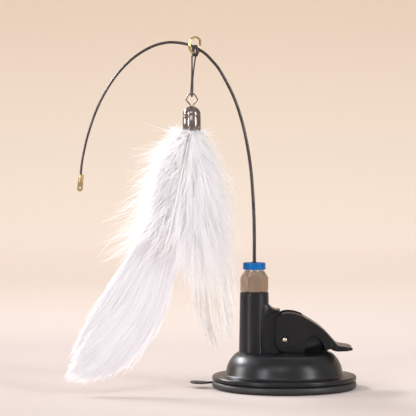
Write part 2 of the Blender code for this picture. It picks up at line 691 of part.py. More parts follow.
def base_housing():
    """Dome, post, roof and web in one moulding, with its bores and slots."""
    housing = housing_shell()
    join(housing, post_shape())
    join(housing, roof_shape())
    cut(housing, pocket_cutter())
    join(housing, web_shape())
    slot_x = STEM_WIDTH / 2 + SLIDE_GAP
    slot_y = STEM_DEPTH / 2 + SLIDE_GAP
    cut(housing, box("stem_slot", (-slot_x, -slot_y, DOME_TOP - HOUSING_WALL - CUT_OVERRUN),
                     (slot_x, slot_y, PIN_Z + STEM_WIDTH / 2 + 2 * SLIDE_GAP)))
    hole = PIN_RADIUS + SLIDE_GAP
    cut(housing, box("pin_slot", (-hole, -LEVER_HALF_WIDTH, PIN_Z - LOCK_STROKE - hole),
                     (hole, LEVER_HALF_WIDTH, PIN_Z + hole)))
    bore_depth = SHANK_LENGTH + SEAT_GAP
    cut(housing, rod_between("shank_bore", SHANK_RADIUS + PIN_GAP,
                             (POST_X, 0.0, POST_TOP - bore_depth),
                             (POST_X, 0.0, POST_TOP + CUT_OVERRUN), steps=POST_STEPS))


def cam_outline():
    """Under-edge of the cheek: its distance to the pin falls steadily as the lever turns."""
    points = []
    for i in range(9):
        turn = LEVER_TURN * i / 8
        height = CAM_HEIGHT - CAM_RATE * turn
        points.append((CAM_RATE * math.cos(turn) - height * math.sin(turn),
                       -height * math.cos(turn) - CAM_RATE * math.sin(turn)))
    return points


def lever_outline():
    """Closed outline of the lever's cheek, from the pin's axis."""
    rows = LEVER_TOP_SHARES + LEVER_TIP_SHARES + LEVER_UNDER_SHARES
    curve = flowing([(a * LEVER_REACH, b * LEVER_CROWN, 0.0) for a, b in rows], 2)
    edge = [(point.x, point.y) for point in curve]
    inner_foot = (edge[-1][0] - LEVER_ROUND, -CAM_HEIGHT)
    heel = (-LEVER_HEEL, cam_outline()[-1][1] / 2)
    return edge + [inner_foot] + cam_outline() + [heel]


def lever_plan():
    """Outline of the lever from above: straight cheeks, then the wider thumb tab."""
    corner = LEVER_TAB_CORNER
    end = LEVER_REACH + SINK
    start = -LEVER_HEEL - CUT_OVERRUN
    half = LEVER_HALF_WIDTH
    widening = LEVER_TAB_START + corner / 2
    right = arc((end - corner, TAB_HALF_WIDTH - corner), (corner, corner), 0, 90, 6)
    left = arc((end - corner, -TAB_HALF_WIDTH + corner), (corner, corner), -90, 0, 6)
    return [*right, (widening, TAB_HALF_WIDTH), (LEVER_TAB_START, half), (start, half),
            (start, -half), (LEVER_TAB_START, -half), (widening, -TAB_HALF_WIDTH), *left]


def lock_lever(pivot):
    """Handle with two cheeks that straddle the web, a spine on top and a thumb tab."""
    at_pin = (0.0, 0.0, PIN_Z)
    deep = TAB_HALF_WIDTH + CUT_OVERRUN
    lever = moved(plate("lock_lever", lever_outline()[::-1], deep, "black_plastic"), at_pin)
    tall = 2 * LEVER_CROWN
    boolean(lever, moved(plate("lever_plan", lever_plan(), tall, upright=False), at_pin), "INTERSECT")
    ceiling = lever_chamber()
    low = -CAM_HEIGHT - CUT_OVERRUN
    left = -LEVER_HEEL - CUT_OVERRUN
    high = LEVER_CROWN + CUT_OVERRUN
    # the spine is open over the web, from the heel to the roof's end and a little past it
    chamber = [(left, low), (ceiling[-1][0], low), *reversed(ceiling[7:]),
               (ceiling[7][0], high), (left, high)]
    cut(lever, moved(plate("chamber", chamber, WEB_HALF_WIDTH + SLIDE_GAP), at_pin))
    far = LEVER_HALF_WIDTH + CUT_OVERRUN
    cut(lever, rod_between("lever_bore", PIN_RADIUS + PIN_GAP, (0.0, -far, PIN_Z), (0.0, far, PIN_Z)))
    for side in (-1, 1):
        inner = side * (LEVER_HALF_WIDTH - PIN_SINK_DEPTH)
        cut(lever, rod_between("sink_" + ("front" if side < 0 else "back"), PIN_SINK_RADIUS,
                               (0.0, inner, PIN_Z), (0.0, side * far, PIN_Z)))
    round_edges(lever, LEVER_ROUND)
    carry(lever, pivot)


def fitting_body():
    """Hexagon with chamfered ends and a shank, bored for the seal, the collet and the rod."""
    radius = HEX_CORNERS / 2
    bm = bmesh.new()
    bmesh.ops.create_cone(bm, cap_ends=True, segments=6, radius1=radius, radius2=radius,
                          depth=HEX_HEIGHT)
    mesh = bpy.data.meshes.new("fitting_body")
    bm.to_mesh(mesh)
    bm.free()
    body = new_object("fitting_body", mesh, "nickel")
    body.location = (POST_X, 0.0, HEX_BOTTOM + HEX_HEIGHT / 2)
    body.rotation_euler = (0.0, 0.0, math.pi / 6)
    over = radius + CUT_OVERRUN
    run = over - FITTING_MOUTH_RADIUS
    slope = HEX_CHAMFER / (radius - FITTING_MOUTH_RADIUS)
    foot_radius = HEX_FLATS / 2
    foot_slope = HEX_FOOT_CHAMFER / (radius - foot_radius)
    profile = [
        (0.0, HEX_TOP), (FITTING_MOUTH_RADIUS, HEX_TOP), (over, HEX_TOP - run * slope),
        (over, HEX_BOTTOM + (over - foot_radius) * foot_slope), (foot_radius, HEX_BOTTOM),
        (0.0, HEX_BOTTOM),
    ]
    boolean(body, turned("hex_turning", profile, steps=POST_STEPS, place=(POST_X, 0.0, 0.0)),
            "INTERSECT")
    shank_foot = HEX_BOTTOM - SHANK_LENGTH
    join(body, rod_between("shank", SHANK_RADIUS, (POST_X, 0.0, shank_foot),
                           (POST_X, 0.0, HEX_BOTTOM + SINK)))
    cut(body, rod_between("fitting_bore", FITTING_BORE, (POST_X, 0.0, BORE_FLOOR),
                          (POST_X, 0.0, HEX_TOP + CUT_OVERRUN)))
    cut(body, rod_between("rod_socket", ROD_RADIUS + PIN_GAP,
                          (POST_X, 0.0, BORE_FLOOR - ROD_SOCKET_DEPTH),
                          (POST_X, 0.0, BORE_FLOOR + CUT_OVERRUN)))


def retaining_ring():
    """Rim pressed into the fitting's mouth, inside the collar's skirt."""
    inner = COLLAR_BORE + COLLAR_TUBE_WALL + PIN_GAP
    neck = FITTING_BORE - PIN_GAP
    bottom = HEX_TOP + RING_GROOVE
    foot = HEX_TOP - RING_BODY_HEIGHT
    profile = [
        (inner, bottom + RING_BODY_HEIGHT), (RING_BODY_RADIUS, bottom + RING_BODY_HEIGHT),
        (RING_BODY_RADIUS, bottom), (neck, bottom), (neck, foot), (inner, foot),
    ]
    turned("retaining_ring", profile, "nickel", place=(POST_X, 0.0, 0.0), closed=True)


def seal_ring():
    """O-ring in the bottom of the fitting's bore."""
    bpy.ops.mesh.primitive_torus_add(
        major_radius=SEAL_RADIUS, minor_radius=SEAL_WIRE, major_segments=24, minor_segments=10,
        location=(POST_X, 0.0, BORE_FLOOR + SEAT_GAP + SEAL_WIRE))
    ring = bpy.context.active_object
    ring.name = "seal_ring"
    for home in list(ring.users_collection):
        home.objects.unlink(ring)
    PARTS.objects.link(ring)
    smooth(ring.data)
    ring.data.materials.append(material("rubber"))


def collet(turning):
    """Split gripping ring that turns with the rod."""
    profile = [
        (COLLET_BORE, COLLET_TOP), (COLLET_RADIUS, COLLET_TOP), (COLLET_RADIUS, COLLET_BOTTOM),
        (COLLET_BORE, COLLET_BOTTOM),
    ]
    ring = turned("collet", profile, "brass", place=(POST_X, 0.0, 0.0), closed=True)
    high = COLLET_TOP + CUT_OVERRUN
    low = COLLET_TOP - COLLET_LENGTH * COLLET_SLIT_SHARE
    far = COLLET_RADIUS + CUT_OVERRUN
    half = COLLET_SLIT / 2
    cut(ring, box("slit_across", (POST_X - far, -half, low), (POST_X + far, half, high)))
    cut(ring, box("slit_along", (POST_X - half, -far, low), (POST_X + half, far, high)))
    carry(ring, turning)


def release_collar(press):
    """Blue ring that is pressed down to free the rod, with a skirt and an inner tube."""
    tube = COLLAR_BORE + COLLAR_TUBE_WALL
    skirt = RING_BODY_RADIUS + PIN_GAP
    tube_foot = COLLET_TOP + COLLAR_TRAVEL + PIN_GAP
    under = COLLAR_TOP - COLLAR_TOP_WALL
    rim = arc((COLLAR_RADIUS - COLLAR_ROUND, COLLAR_TOP - COLLAR_ROUND),
              (COLLAR_ROUND, COLLAR_ROUND), 90, 0, 3)
    profile = [
        (COLLAR_BORE, COLLAR_TOP), *rim, (COLLAR_RADIUS, COLLAR_BOTTOM + COLLAR_LIP_HEIGHT),
        (COLLAR_LIP_RADIUS, COLLAR_BOTTOM + COLLAR_LIP_HEIGHT * 2 / 3),
        (COLLAR_LIP_RADIUS, COLLAR_BOTTOM), (skirt, COLLAR_BOTTOM), (skirt, under),
        (tube, under), (tube, tube_foot), (COLLAR_BORE, tube_foot),
    ]
    collar = turned("release_collar", profile, "blue_plastic", 40, (POST_X, 0.0, 0.0), closed=True)
    carry(collar, press)


def rod_route():
    """Smooth line of the rod's arch above the collar, from the shares of span and crown."""
    return flowing([(POST_X - a * ROD_SPAN, 0.0, COLLAR_TOP + b * ROD_CROWN) for a, b in ROD_SHARES], 3)


def rod_at(side_share):
    """Place and direction of the rod's rising side at a share of its span."""
    route = rod_route()
    x = POST_X - side_share * ROD_SPAN
    for low, high in zip(route, route[1:]):
        if low.x > x >= high.x:
            part = (low.x - x) / (low.x - high.x)
            return low.lerp(high, part), (high - low).normalized()
    return route[-1], (route[-1] - route[-2]).normalized()


def rod_and_sleeve(wand):
    """Tapered spring rod from its socket to the crimp, and the sleeve that the collet grips."""
    foot = BORE_FLOOR - ROD_SOCKET_DEPTH + SEAT_GAP
    route = [Vector((POST_X, 0.0, foot)), Vector((POST_X, 0.0, (foot + COLLAR_TOP) / 2)), *rod_route()]
    lengths = [0.0]
    for low, high in zip(route, route[1:]):
        lengths.append(lengths[-1] + (high - low).length)
    shares = [1 - (1 - ROD_TIP_SHARE) * run / lengths[-1] for run in lengths]
    carry(wire("rod", route, ROD_RADIUS, "rod_steel", 2, shares), wand)
    bore = ROD_RADIUS + PIN_GAP
    top = COLLAR_TOP - SLEEVE_TOP_DROP
    bottom = BORE_FLOOR + SEAT_GAP
    profile = [(bore, top), (SLEEVE_RADIUS, top), (SLEEVE_RADIUS, bottom), (bore, bottom)]
    carry(turned("rod_sleeve", profile, "brass", place=(POST_X, 0.0, 0.0), closed=True), wand)


def tip_crimp(wand):
    """Barrel round the rod's end with a flat tongue and a small eye."""
    route = rod_route()
    end = route[-1]
    along = (route[-1] - route[-3]).normalized()
    bore = ROD_RADIUS * ROD_TIP_SHARE + PIN_GAP
    blind = SEAT_GAP
    foot = blind + CRIMP_BARREL - CRIMP_GRIP
    mouth = CRIMP_GRIP
    profile = [(0.0, -blind), (bore, -blind), (bore, mouth), (CRIMP_RADIUS, mouth),
               (CRIMP_RADIUS, -foot), (0.0, -foot)]
    crimp = turned("tip_crimp", profile, "brass", 24)
    half = CRIMP_TONGUE_WIDTH / 2
    low = -foot - CRIMP_TONGUE + half
    tongue = [(-half, -foot + SINK), *arc((0.0, low), (half, half), 180, 360, 10), (half, -foot + SINK)]
    # the tongue's flat side faces the front
    turn = Matrix.Rotation(math.atan2(-along.x, -along.z), 4, "Y")
    frame = Matrix.Translation(end) @ turn
    flap = plate("tongue", tongue, CRIMP_TONGUE_THICKNESS / 2)
    flap.matrix_world = frame @ Matrix.Rotation(math.pi / 2, 4, "X")
    eye_drop = foot + CRIMP_TONGUE * (1 - CRIMP_EYE_SHARE)
    hole = rod_between("tip_eye", CRIMP_EYE_RADIUS, (0.0, -half - CUT_OVERRUN, -eye_drop),
                       (0.0, half + CUT_OVERRUN, -eye_drop), steps=16)
    hole_turn = Matrix.Rotation(math.pi / 2, 4, "X")
    hole.matrix_world = frame @ Matrix.Translation((0.0, 0.0, -eye_drop)) @ hole_turn
    crimp.matrix_world = frame
    join(crimp, flap)
    cut(crimp, hole)
    carry(crimp, wand)


def split_ring(wand):
    """Ring of two wire turns, threaded on the rod."""
    centre, _ = rod_at(RING_PLACE_SHARE)
    centre = centre + Vector((0.0, 0.0, RING_RISE))
    flat = Vector((math.cos(RING_YAW), math.sin(RING_YAW), 0.0))
    axle = Vector((-math.sin(RING_YAW), math.cos(RING_YAW), 0.0))
    up = Vector((0.0, 0.0, 1.0))
    count = 24 * RING_TURNS
    points = []
    for i in range(count + 1):
        a = 2 * math.pi * RING_TURNS * i / count + math.pi / 6
        shift = RING_PITCH * RING_TURNS * (i / count - 0.5) * 0.5
        points.append(centre + flat * RING_RADIUS * math.cos(a) + up * RING_RADIUS * math.sin(a)
                      + axle * 2 * shift)
    carry(wire("split_ring", points, RING_WIRE, "brass", 1), wand)


def hitch_frame():
    """Middle, half height and directions of the cord's wrap round the rod and the ring."""
    on_rod, _ = rod_at(RING_PLACE_SHARE)
    top = on_rod.z + ROD_RADIUS + SEAT_GAP + CORD_RADIUS
    bottom = on_rod.z + RING_RISE - RING_RADIUS - RING_WIRE - SEAT_GAP - CORD_RADIUS
    along = Vector((math.cos(HITCH_YAW), math.sin(HITCH_YAW), 0.0))
    across = Vector((-math.sin(HITCH_YAW), math.cos(HITCH_YAW), 0.0))
    return Vector((on_rod.x, 0.0, (top + bottom) / 2)), (top - bottom) / 2, along, across


def hanger_top():
    """Place on the hanger's joint, just under the hitch."""
    middle, half, _, _ = hitch_frame()
    return Vector((middle.x, 0.0, middle.z - half - CORD_RADIUS - SEAT_GAP))


def eye_place():
    """Middle of the eye's top wire, which the loop hangs on."""
    return hanger_top() - Vector((TASSEL_OFFSET, 0.0, HANGER_DROP))


def cap_place():
    """Top of the cap on the tassel's axis."""
    return eye_place() - Vector((0.0, 0.0, 2 * EYE_RADIUS + EYE_WIRE + SEAT_GAP))


def quill_place():
    """Where the feathers start: on the tassel's axis, just under the cap's mouth."""
    return cap_place() - Vector((0.0, 0.0, CAP_HEIGHT + SEAT_GAP))


def cord_hitch(wand):
    """Two turns of cord round the rod and the bottom of the ring."""
    middle, half, along, across = hitch_frame()
    count = 20 * HITCH_TURNS
    points = []
    for i in range(count + 1):
        a = 2 * math.pi * HITCH_TURNS * i / count - math.pi / 2
        shift = HITCH_PITCH * HITCH_TURNS * (i / count - 0.5)
        points.append(middle + across * HITCH_HALF_WIDTH * math.cos(a)
                      + Vector((0.0, 0.0, half)) * math.sin(a) + along * shift)
    carry(wire("cord_hitch", points, CORD_RADIUS, "cord", 1), wand)


def hanger_cord(swing):
    """Loop of cord from the hitch through the wire eye and back."""
    eye = eye_place()
    places = [eye + Vector((side * LOOP_BEND, back * LOOP_BEND, near * LOOP_BEND + high * HANGER_DROP))
              for side, back, near, high in HANGER_SHARES]
    route = flowing(places, 3)
    carry(wire("hanger_cord", route, CORD_RADIUS, "cord", 2), swing)


def wire_eye(tassel):
    """Wire bent to an eye, with its shaft in the cap."""
    axis_x, _, eye_top = eye_place()
    middle = eye_top - EYE_RADIUS
    foot = middle - EYE_RADIUS - EYE_SHAFT
    neck = middle - EYE_RADIUS - EYE_LEG
    points = [(axis_x, 0.0, foot), (axis_x, 0.0, (foot + neck) / 2), (axis_x, 0.0, neck)]
    ring = arc((axis_x, middle), (EYE_RADIUS, EYE_RADIUS), -72, 236, 20)
    points += [(x, 0.0, z) for x, z in ring]
    carry(wire("wire_eye", points, EYE_WIRE, "nickel", 1), tassel)


def feather_cap(tassel):
    """Domed metal cap with a fine groove, open below, and the glue that holds the quills."""
    axis_x, _, top = cap_place()
    shoulder = top - CAP_DOME
    mouth = top - CAP_HEIGHT
    hole = EYE_WIRE + PIN_GAP
    first = math.degrees(math.acos(hole / CAP_RADIUS))
    inner_radius = CAP_RADIUS - CAP_WALL
    inner_first = math.degrees(math.acos(hole / inner_radius))
    outer = arc((0.0, shoulder), (CAP_RADIUS, CAP_DOME), first, 0, 8)
    inner = arc((0.0, shoulder), (inner_radius, CAP_DOME - CAP_WALL), 0, inner_first, 6)
    half = CAP_GROOVE_WIDTH / 2
    groove_at = shoulder - CAP_GROOVE_WIDTH
    profile = [
        *outer, (CAP_RADIUS, groove_at + half), (CAP_RADIUS - CAP_GROOVE, groove_at),
        (CAP_RADIUS, groove_at - half), (CAP_RADIUS, mouth), (inner_radius, mouth), *inner,
    ]
    carry(turned("feather_cap", profile, "nickel", 40, (axis_x, 0.0, 0.0), closed=True), tassel)
    bottom = mouth + SEAT_GAP
    plug = rod_between("glue_plug", inner_radius - SEAT_GAP, (axis_x, 0.0, bottom),
                       (axis_x, 0.0, bottom + PLUG_LENGTH), "glue", 24)
    carry(plug, tassel)


def surface(name, columns, rows, place, thickness, finish):
    """A sheet worked out point by point from two shares, thickened evenly to both sides."""
    bm = bmesh.new()
    bmesh.ops.create_grid(bm, x_segments=columns, y_segments=rows, size=1.0)
    for vert in bm.verts:
        vert.co = place((vert.co.x + 1) / 2, (vert.co.y + 1) / 2)
    mesh = bpy.data.meshes.new(name)
    bm.to_mesh(mesh)
    bm.free()
    made = new_object(name, mesh, finish)
    solid = made.modifiers.new("thickness", "SOLIDIFY")
    solid.thickness = thickness
    solid.offset = 0.0
    smooth(mesh)
    return made


def plume(name, first, last, reach_share, drop_share, tassel):
    """One drooping plume of down: a sector of a rounded bell round the tassel's axis."""
    start = 2 * math.pi * first + PLUME_GAP / 2
    sweep = 2 * math.pi * (last - first) - PLUME_GAP
    root = quill_place() - Vector((0.0, 0.0, PLUME_THICKNESS))

    def place(across, along):
        bearing = start + sweep * across
        side = PLUME_RIGHT if math.cos(bearing) > 0 else PLUME_LEFT
        reach = 1 / math.sqrt((math.cos(bearing) / side) ** 2 + (math.sin(bearing) / PLUME_DEPTH) ** 2)
        to_right = (1 + math.cos(bearing)) / 2
        left_out = table_value(PLUME_LEFT_SHARES, along, 0)
        right_out = table_value(PLUME_RIGHT_SHARES, along, 0)
        out = (left_out + (right_out - left_out) * to_right) * reach_share
        drop = table_value(PLUME_LEFT_SHARES, along, 1) * drop_share
        radius = PLUME_TOP_RADIUS + (reach - PLUME_TOP_RADIUS) * out
        return root + Vector((radius * math.cos(bearing), radius * math.sin(bearing), -PLUME_DROP * drop))

    carry(surface(name, 6, 12, place, PLUME_THICKNESS, "down"), tassel)


def long_feather(name, shares, across_turn, tassel):
    """One long feather: a cupped vane along the line of its quill."""
    root = quill_place()
    line = flowing([root + Vector((a * FEATHER_REACH, b * FEATHER_REACH, -c * FEATHER_DROP))
                    for a, b, c, _ in shares], 6)
    widths = flowing([(w, 0.0, 0.0) for _, _, _, w in shares], 6)

    def place(across, along):
        at = along * (len(line) - 1)
        low = min(int(at), len(line) - 2)
        spot = line[low].lerp(line[low + 1], at - low)
        width = FEATHER_WIDTH * (widths[low].x + (widths[low + 1].x - widths[low].x) * (at - low))
        run = (line[low + 1] - line[low]).normalized()
        facing = Vector((math.sin(across_turn), -math.cos(across_turn), 0.0))
        side = run.cross(facing).normalized()
        front = side.cross(run).normalized()
        offset = 2 * across - 1
        return spot + side * width / 2 * offset + front * width * FEATHER_CUP_SHARE * (offset ** 2)

    carry(surface(name, 4, 24, place, FEATHER_THICKNESS, "feather"), tassel)


def build():
    """Every piece, on the empties of the joints that move it."""
    stem_slide = empty("stem_slide", (0.0, 0.0, PIN_Z))
    lever_hinge = empty("lever_hinge", (0.0, 0.0, PIN_Z), stem_slide)
    collar_press = empty("collar_press", (POST_X, 0.0, COLLAR_TOP))
    rod_turn = empty("rod_turn", (POST_X, 0.0, COLLAR_TOP))
    rod_pull = empty("rod_pull", (POST_X, 0.0, COLLAR_TOP), rod_turn)
    hanger_swing = empty("hanger_swing", hanger_top(), rod_pull)
    tassel_swing = empty("tassel_swing", eye_place(), hanger_swing)

    suction_pad()
    base_housing()
    stem_and_pin(stem_slide)
    lock_lever(lever_hinge)
    fitting_body()
    retaining_ring()
    seal_ring()
    release_collar(collar_press)
    collet(rod_turn)
    rod_and_sleeve(rod_pull)
    tip_crimp(rod_pull)
    split_ring(rod_pull)
    cord_hitch(rod_pull)
    hanger_cord(hanger_swing)
    wire_eye(tassel_swing)
    feather_cap(tassel_swing)
    for name, first, last, reach_share, drop_share in PLUME_SECTOR_SHARES:
        plume(name, first, last, reach_share, drop_share, tassel_swing)
    long_feather("long_feather_left", LEFT_FRONT_SHARES, math.radians(-20.0), tassel_swing)
    long_feather("long_feather_left_back", LEFT_BACK_SHARES, math.radians(-10.0), tassel_swing)
    long_feather("long_feather_right", RIGHT_BACK_SHARES, math.radians(10.0), tassel_swing)


build()
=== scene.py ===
# Looks of the suction cup feather wand: camera, light, finishes, cord, rod and feathers.
# The toy's own frame: origin under the suction pad, +Z up. The tables are in mm, the meshes in metres.
import math

import bmesh
import bpy
import numpy as np
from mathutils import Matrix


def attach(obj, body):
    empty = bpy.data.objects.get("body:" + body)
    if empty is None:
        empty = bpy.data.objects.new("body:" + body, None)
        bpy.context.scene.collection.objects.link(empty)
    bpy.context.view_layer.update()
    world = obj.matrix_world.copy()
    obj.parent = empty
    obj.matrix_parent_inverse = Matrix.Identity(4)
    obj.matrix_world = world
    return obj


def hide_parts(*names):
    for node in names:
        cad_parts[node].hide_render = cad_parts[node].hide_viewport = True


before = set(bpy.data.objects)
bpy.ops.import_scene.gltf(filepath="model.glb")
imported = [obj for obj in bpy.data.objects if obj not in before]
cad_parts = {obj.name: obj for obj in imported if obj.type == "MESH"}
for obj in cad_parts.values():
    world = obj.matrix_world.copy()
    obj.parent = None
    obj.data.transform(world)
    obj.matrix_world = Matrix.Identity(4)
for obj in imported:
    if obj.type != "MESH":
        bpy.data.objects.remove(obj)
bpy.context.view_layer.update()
mm = 0.001
print("frame loaded,", len(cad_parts), "nodes")


# Camera
camera = {
    "place": (-38.1, -1200.0, 142.2),   # mm
    "lookAt": (-38.1, 0.0, 89.9),       # mm, middle of the picture
    "lens": 208.6,
    "sensor": 36.0,
}


def newObject(name, data):
    made = bpy.data.objects.new(name, data)
    bpy.context.scene.collection.objects.link(made)
    return made


def aimed(thing, spot, target):
    # at a spot, its own -Z towards the target, level
    dx, dy, dz = (b - a for a, b in zip(spot, target))
    thing.location = spot
    thing.rotation_euler = (math.pi / 2 + math.atan2(dz, math.hypot(dx, dy)), 0, -math.atan2(dx, dy))


def makeCamera(c):
    data = bpy.data.cameras.new("viewCamera")
    data.lens, data.sensor_width = c["lens"], c["sensor"]
    data.clip_start, data.clip_end = 0.05, 20.0
    cam = newObject("viewCamera", data)
    aimed(cam, *([v * mm for v in c[key]] for key in ("place", "lookAt")))
    bpy.context.scene.camera = cam


makeCamera(camera)
bpy.context.scene.view_settings.view_transform = "Standard"


# Mesh helpers
def toMesh(name, verts, faces, uv=None, smooth=True, sharp=None):
    # verts (n, 3) in metres, faces as an array or list of index rows, uv one pair for each vertex
    mesh = bpy.data.meshes.new(name)
    mesh.vertices.add(len(verts))
    mesh.vertices.foreach_set("co", verts.astype(np.float32).ravel())
    faces = np.asarray(faces)
    count, size = faces.shape
    mesh.loops.add(count * size)
    mesh.loops.foreach_set("vertex_index", faces.astype(np.int32).ravel())
    mesh.polygons.add(count)
    mesh.polygons.foreach_set("loop_start", np.arange(0, count * size, size, dtype=np.int32))
    mesh.update(calc_edges=True)
    if uv is not None:
        layer = mesh.uv_layers.new(name="UVMap")
        layer.data.foreach_set("uv", uv[faces.ravel()].astype(np.float32).ravel())
    mesh.validate()
    if smooth:
        mesh.shade_smooth()
    if sharp:
        mesh.set_sharp_from_angle(angle=math.radians(sharp))
    return newObject(name, mesh)


def spotsOf(piece):
    return np.array([v.co for v in piece.data.vertices])


def move(piece, spots):
    piece.data.vertices.foreach_set("co", spots.astype(np.float32).ravel())


def gridFaces(rows, cols, wrapCols=False, wrapRows=False):
    # quads of a grid whose vertex (i, j) has number i * cols + j
    i = np.arange(rows if wrapRows else rows - 1)[:, None]
    j = np.arange(cols if wrapCols else cols - 1)[None, :]
    a, b = i * cols + j, i * cols + (j + 1) % cols
    c, d = ((i + 1) % rows) * cols + (j + 1) % cols, ((i + 1) % rows) * cols + j
    return np.stack([a, b, c, d], -1).reshape(-1, 4)


def smoothLine(points, perSpan):
    # Catmull-Rom curve: each span is a cubic through its two points with slopes from the neighbours
    p = np.asarray(points, float)
    p = np.vstack([2 * p[0] - p[1], p, 2 * p[-1] - p[-2]])
    t = np.arange(perSpan)[None, :, None] / perSpan
    a, b, c, d = (p[k:len(p) - 3 + k][:, None, :] for k in range(4))
    out = 0.5 * (2 * b + (c - a) * t + (2 * a - 5 * b + 4 * c - d) * t ** 2 + (3 * b - a - 3 * c + d) * t ** 3)
    return np.vstack([out.reshape(-1, p.shape[1]), p[-2][None, :]])


def unit(v):
    return v / np.maximum(np.linalg.norm(v, axis=-1, keepdims=True), 1e-12)


def runOf(line):
    # length along the line up to each of its points
    return np.concatenate([[0], np.cumsum(np.linalg.norm(np.diff(line, axis=0), axis=1))])


def lineFrames(line):
    # tangent, and two directions square to it that turn as little as they can along the line
    tangent = unit(np.gradient(line, axis=0))
    first = np.cross(tangent[0], (0.0, 1.0, 0.0) if abs(tangent[0][1]) < 0.9 else (1.0, 0.0, 0.0))
    one = np.empty_like(line)
    one[0] = unit(first)
    for k in range(1, len(line)):
        one[k] = unit(one[k - 1] - tangent[k] * np.dot(one[k - 1], tangent[k]))
    return tangent, one, np.cross(tangent, one)


def tube(name, line, radius, sides=16):
    # round section carried along a line; radius is one number or one for each point, ends drawn in to a dome
    line = np.asarray(line, float)
    radius = np.broadcast_to(np.asarray(radius, float), (len(line),)).copy()
    tangent = unit(np.gradient(line, axis=0))
    head = [line[0] - tangent[0] * radius[0] * s for s in (0.5, 0.42)]
    tail = [line[-1] + tangent[-1] * radius[-1] * s for s in (0.42, 0.5)]
    line = np.vstack([*head, line, *tail])
    radius = np.concatenate([radius[0] * np.array([0.02, 0.6]), radius, radius[-1] * np.array([0.6, 0.02])])
    _, one, two = lineFrames(line)
    turn = np.linspace(0, 2 * np.pi, sides, endpoint=False)
    ring = one[:, None, :] * np.cos(turn)[None, :, None] + two[:, None, :] * np.sin(turn)[None, :, None]
    verts = (line[:, None, :] + ring * radius[:, None, None]).reshape(-1, 3)
    uv = np.stack([np.repeat(runOf(line) / mm, sides), np.tile(turn / (2 * np.pi), len(line))], -1)
    piece = toMesh(name, verts, gridFaces(len(line), sides, wrapCols=True), uv)
    closeEnds(piece, sides, len(line))
    return piece


def closeEnds(piece, sides, rows):
    # a face over the small ring at each end of a tube, all faces pointing outwards
    bm = bmesh.new()
    bm.from_mesh(piece.data)
    bm.verts.ensure_lookup_table()
    bm.faces.new([bm.verts[k] for k in range(sides)])
    bm.faces.new([bm.verts[(rows - 1) * sides + k] for k in reversed(range(sides))])
    bmesh.ops.recalc_face_normals(bm, faces=bm.faces)
    bm.to_mesh(piece.data)
    bm.free()
    piece.data.shade_smooth()


def rounded(profile, radius, steps=4):
    # each marked corner (r, z, share) of a profile becomes an arc between points on its two sides
    out = []
    count = len(profile)
    for k, corner in enumerate(profile):
        size = radius * (corner[2] if len(corner) > 2 else 0)
        here = np.array(corner[:2], float)
        if size <= 0:
            out.append(here)
            continue
        before, after = (np.array(profile[(k + s) % count][:2], float) - here for s in (-1, 1))
        size = min(size, 0.45 * np.linalg.norm(before), 0.45 * np.linalg.norm(after))
        a, b = here + unit(before) * size, here + unit(after) * size
        for t in np.linspace(0, 1, steps + 1):
            out.append(a * (1 - t) ** 2 + here * 2 * t * (1 - t) + b * t ** 2)
    return np.array(out)


def lathe(name, profile, centre=(0.0, 0.0), segments=128, closed=True, sharp=35):
    # profile of (radius, height) in metres turned round an upright line: (cx + r cos a, cy + r sin a, z)
    profile = np.maximum(np.asarray(profile, float), [1e-6, -1.0])
    turn = np.linspace(0, 2 * np.pi, segments, endpoint=False)
    r, z = profile[:, :1], profile[:, 1:]
    verts = np.stack([centre[0] + r * np.cos(turn), centre[1] + r * np.sin(turn), z + 0 * turn], -1).reshape(-1, 3)
    piece = toMesh(name, verts, gridFaces(len(profile), segments, True, closed)[:, ::-1])
    tidyShape(piece, sharp)
    return piece


def tidyShape(piece, sharp, merge=0.000002):
    # merge doubles, point faces outwards and shade by angle
    bm = bmesh.new()
    bm.from_mesh(piece.data)
    bmesh.ops.remove_doubles(bm, verts=bm.verts, dist=merge)
    bmesh.ops.recalc_face_normals(bm, faces=bm.faces)
    bm.to_mesh(piece.data)
    bm.free()
    piece.data.shade_smooth()
    piece.data.set_sharp_from_angle(angle=math.radians(sharp))


def fineCopy(node, name, sharp):
    # the CAD node's own shape, merged and smoothly shaded
    piece = newObject(name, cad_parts[node].data.copy())
    piece.data.materials.clear()
    tidyShape(piece, sharp, 0.00001)
    piece.modifiers.new("evenShade", "WEIGHTED_NORMAL").keep_sharp = True
    return piece


def place(piece, body, slot, finish, *nodes):
    # ride on a body, take a finish and stand for CAD nodes
    piece.data.materials.append(finish)
    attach(piece, body)
    if nodes:
        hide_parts(*nodes)
    return piece


# Shader helpers
class Value:
    # a socket that can be used in sums: + - and * add Math nodes

    def __init__(self, tree, socket):
        self.tree, self.socket = tree, socket

    def math(self, operation, *others):
        return self.tree.node("Math", {"operation": operation}, self, *others)

    def __add__(self, other):
        return self.math("ADD", other)

    def __mul__(self, other):
        return self.math("MULTIPLY", other)

    def __sub__(self, other):
        return self.math("SUBTRACT", other)

    def clamped(self):
        self.socket.node.use_clamp = True
        return self


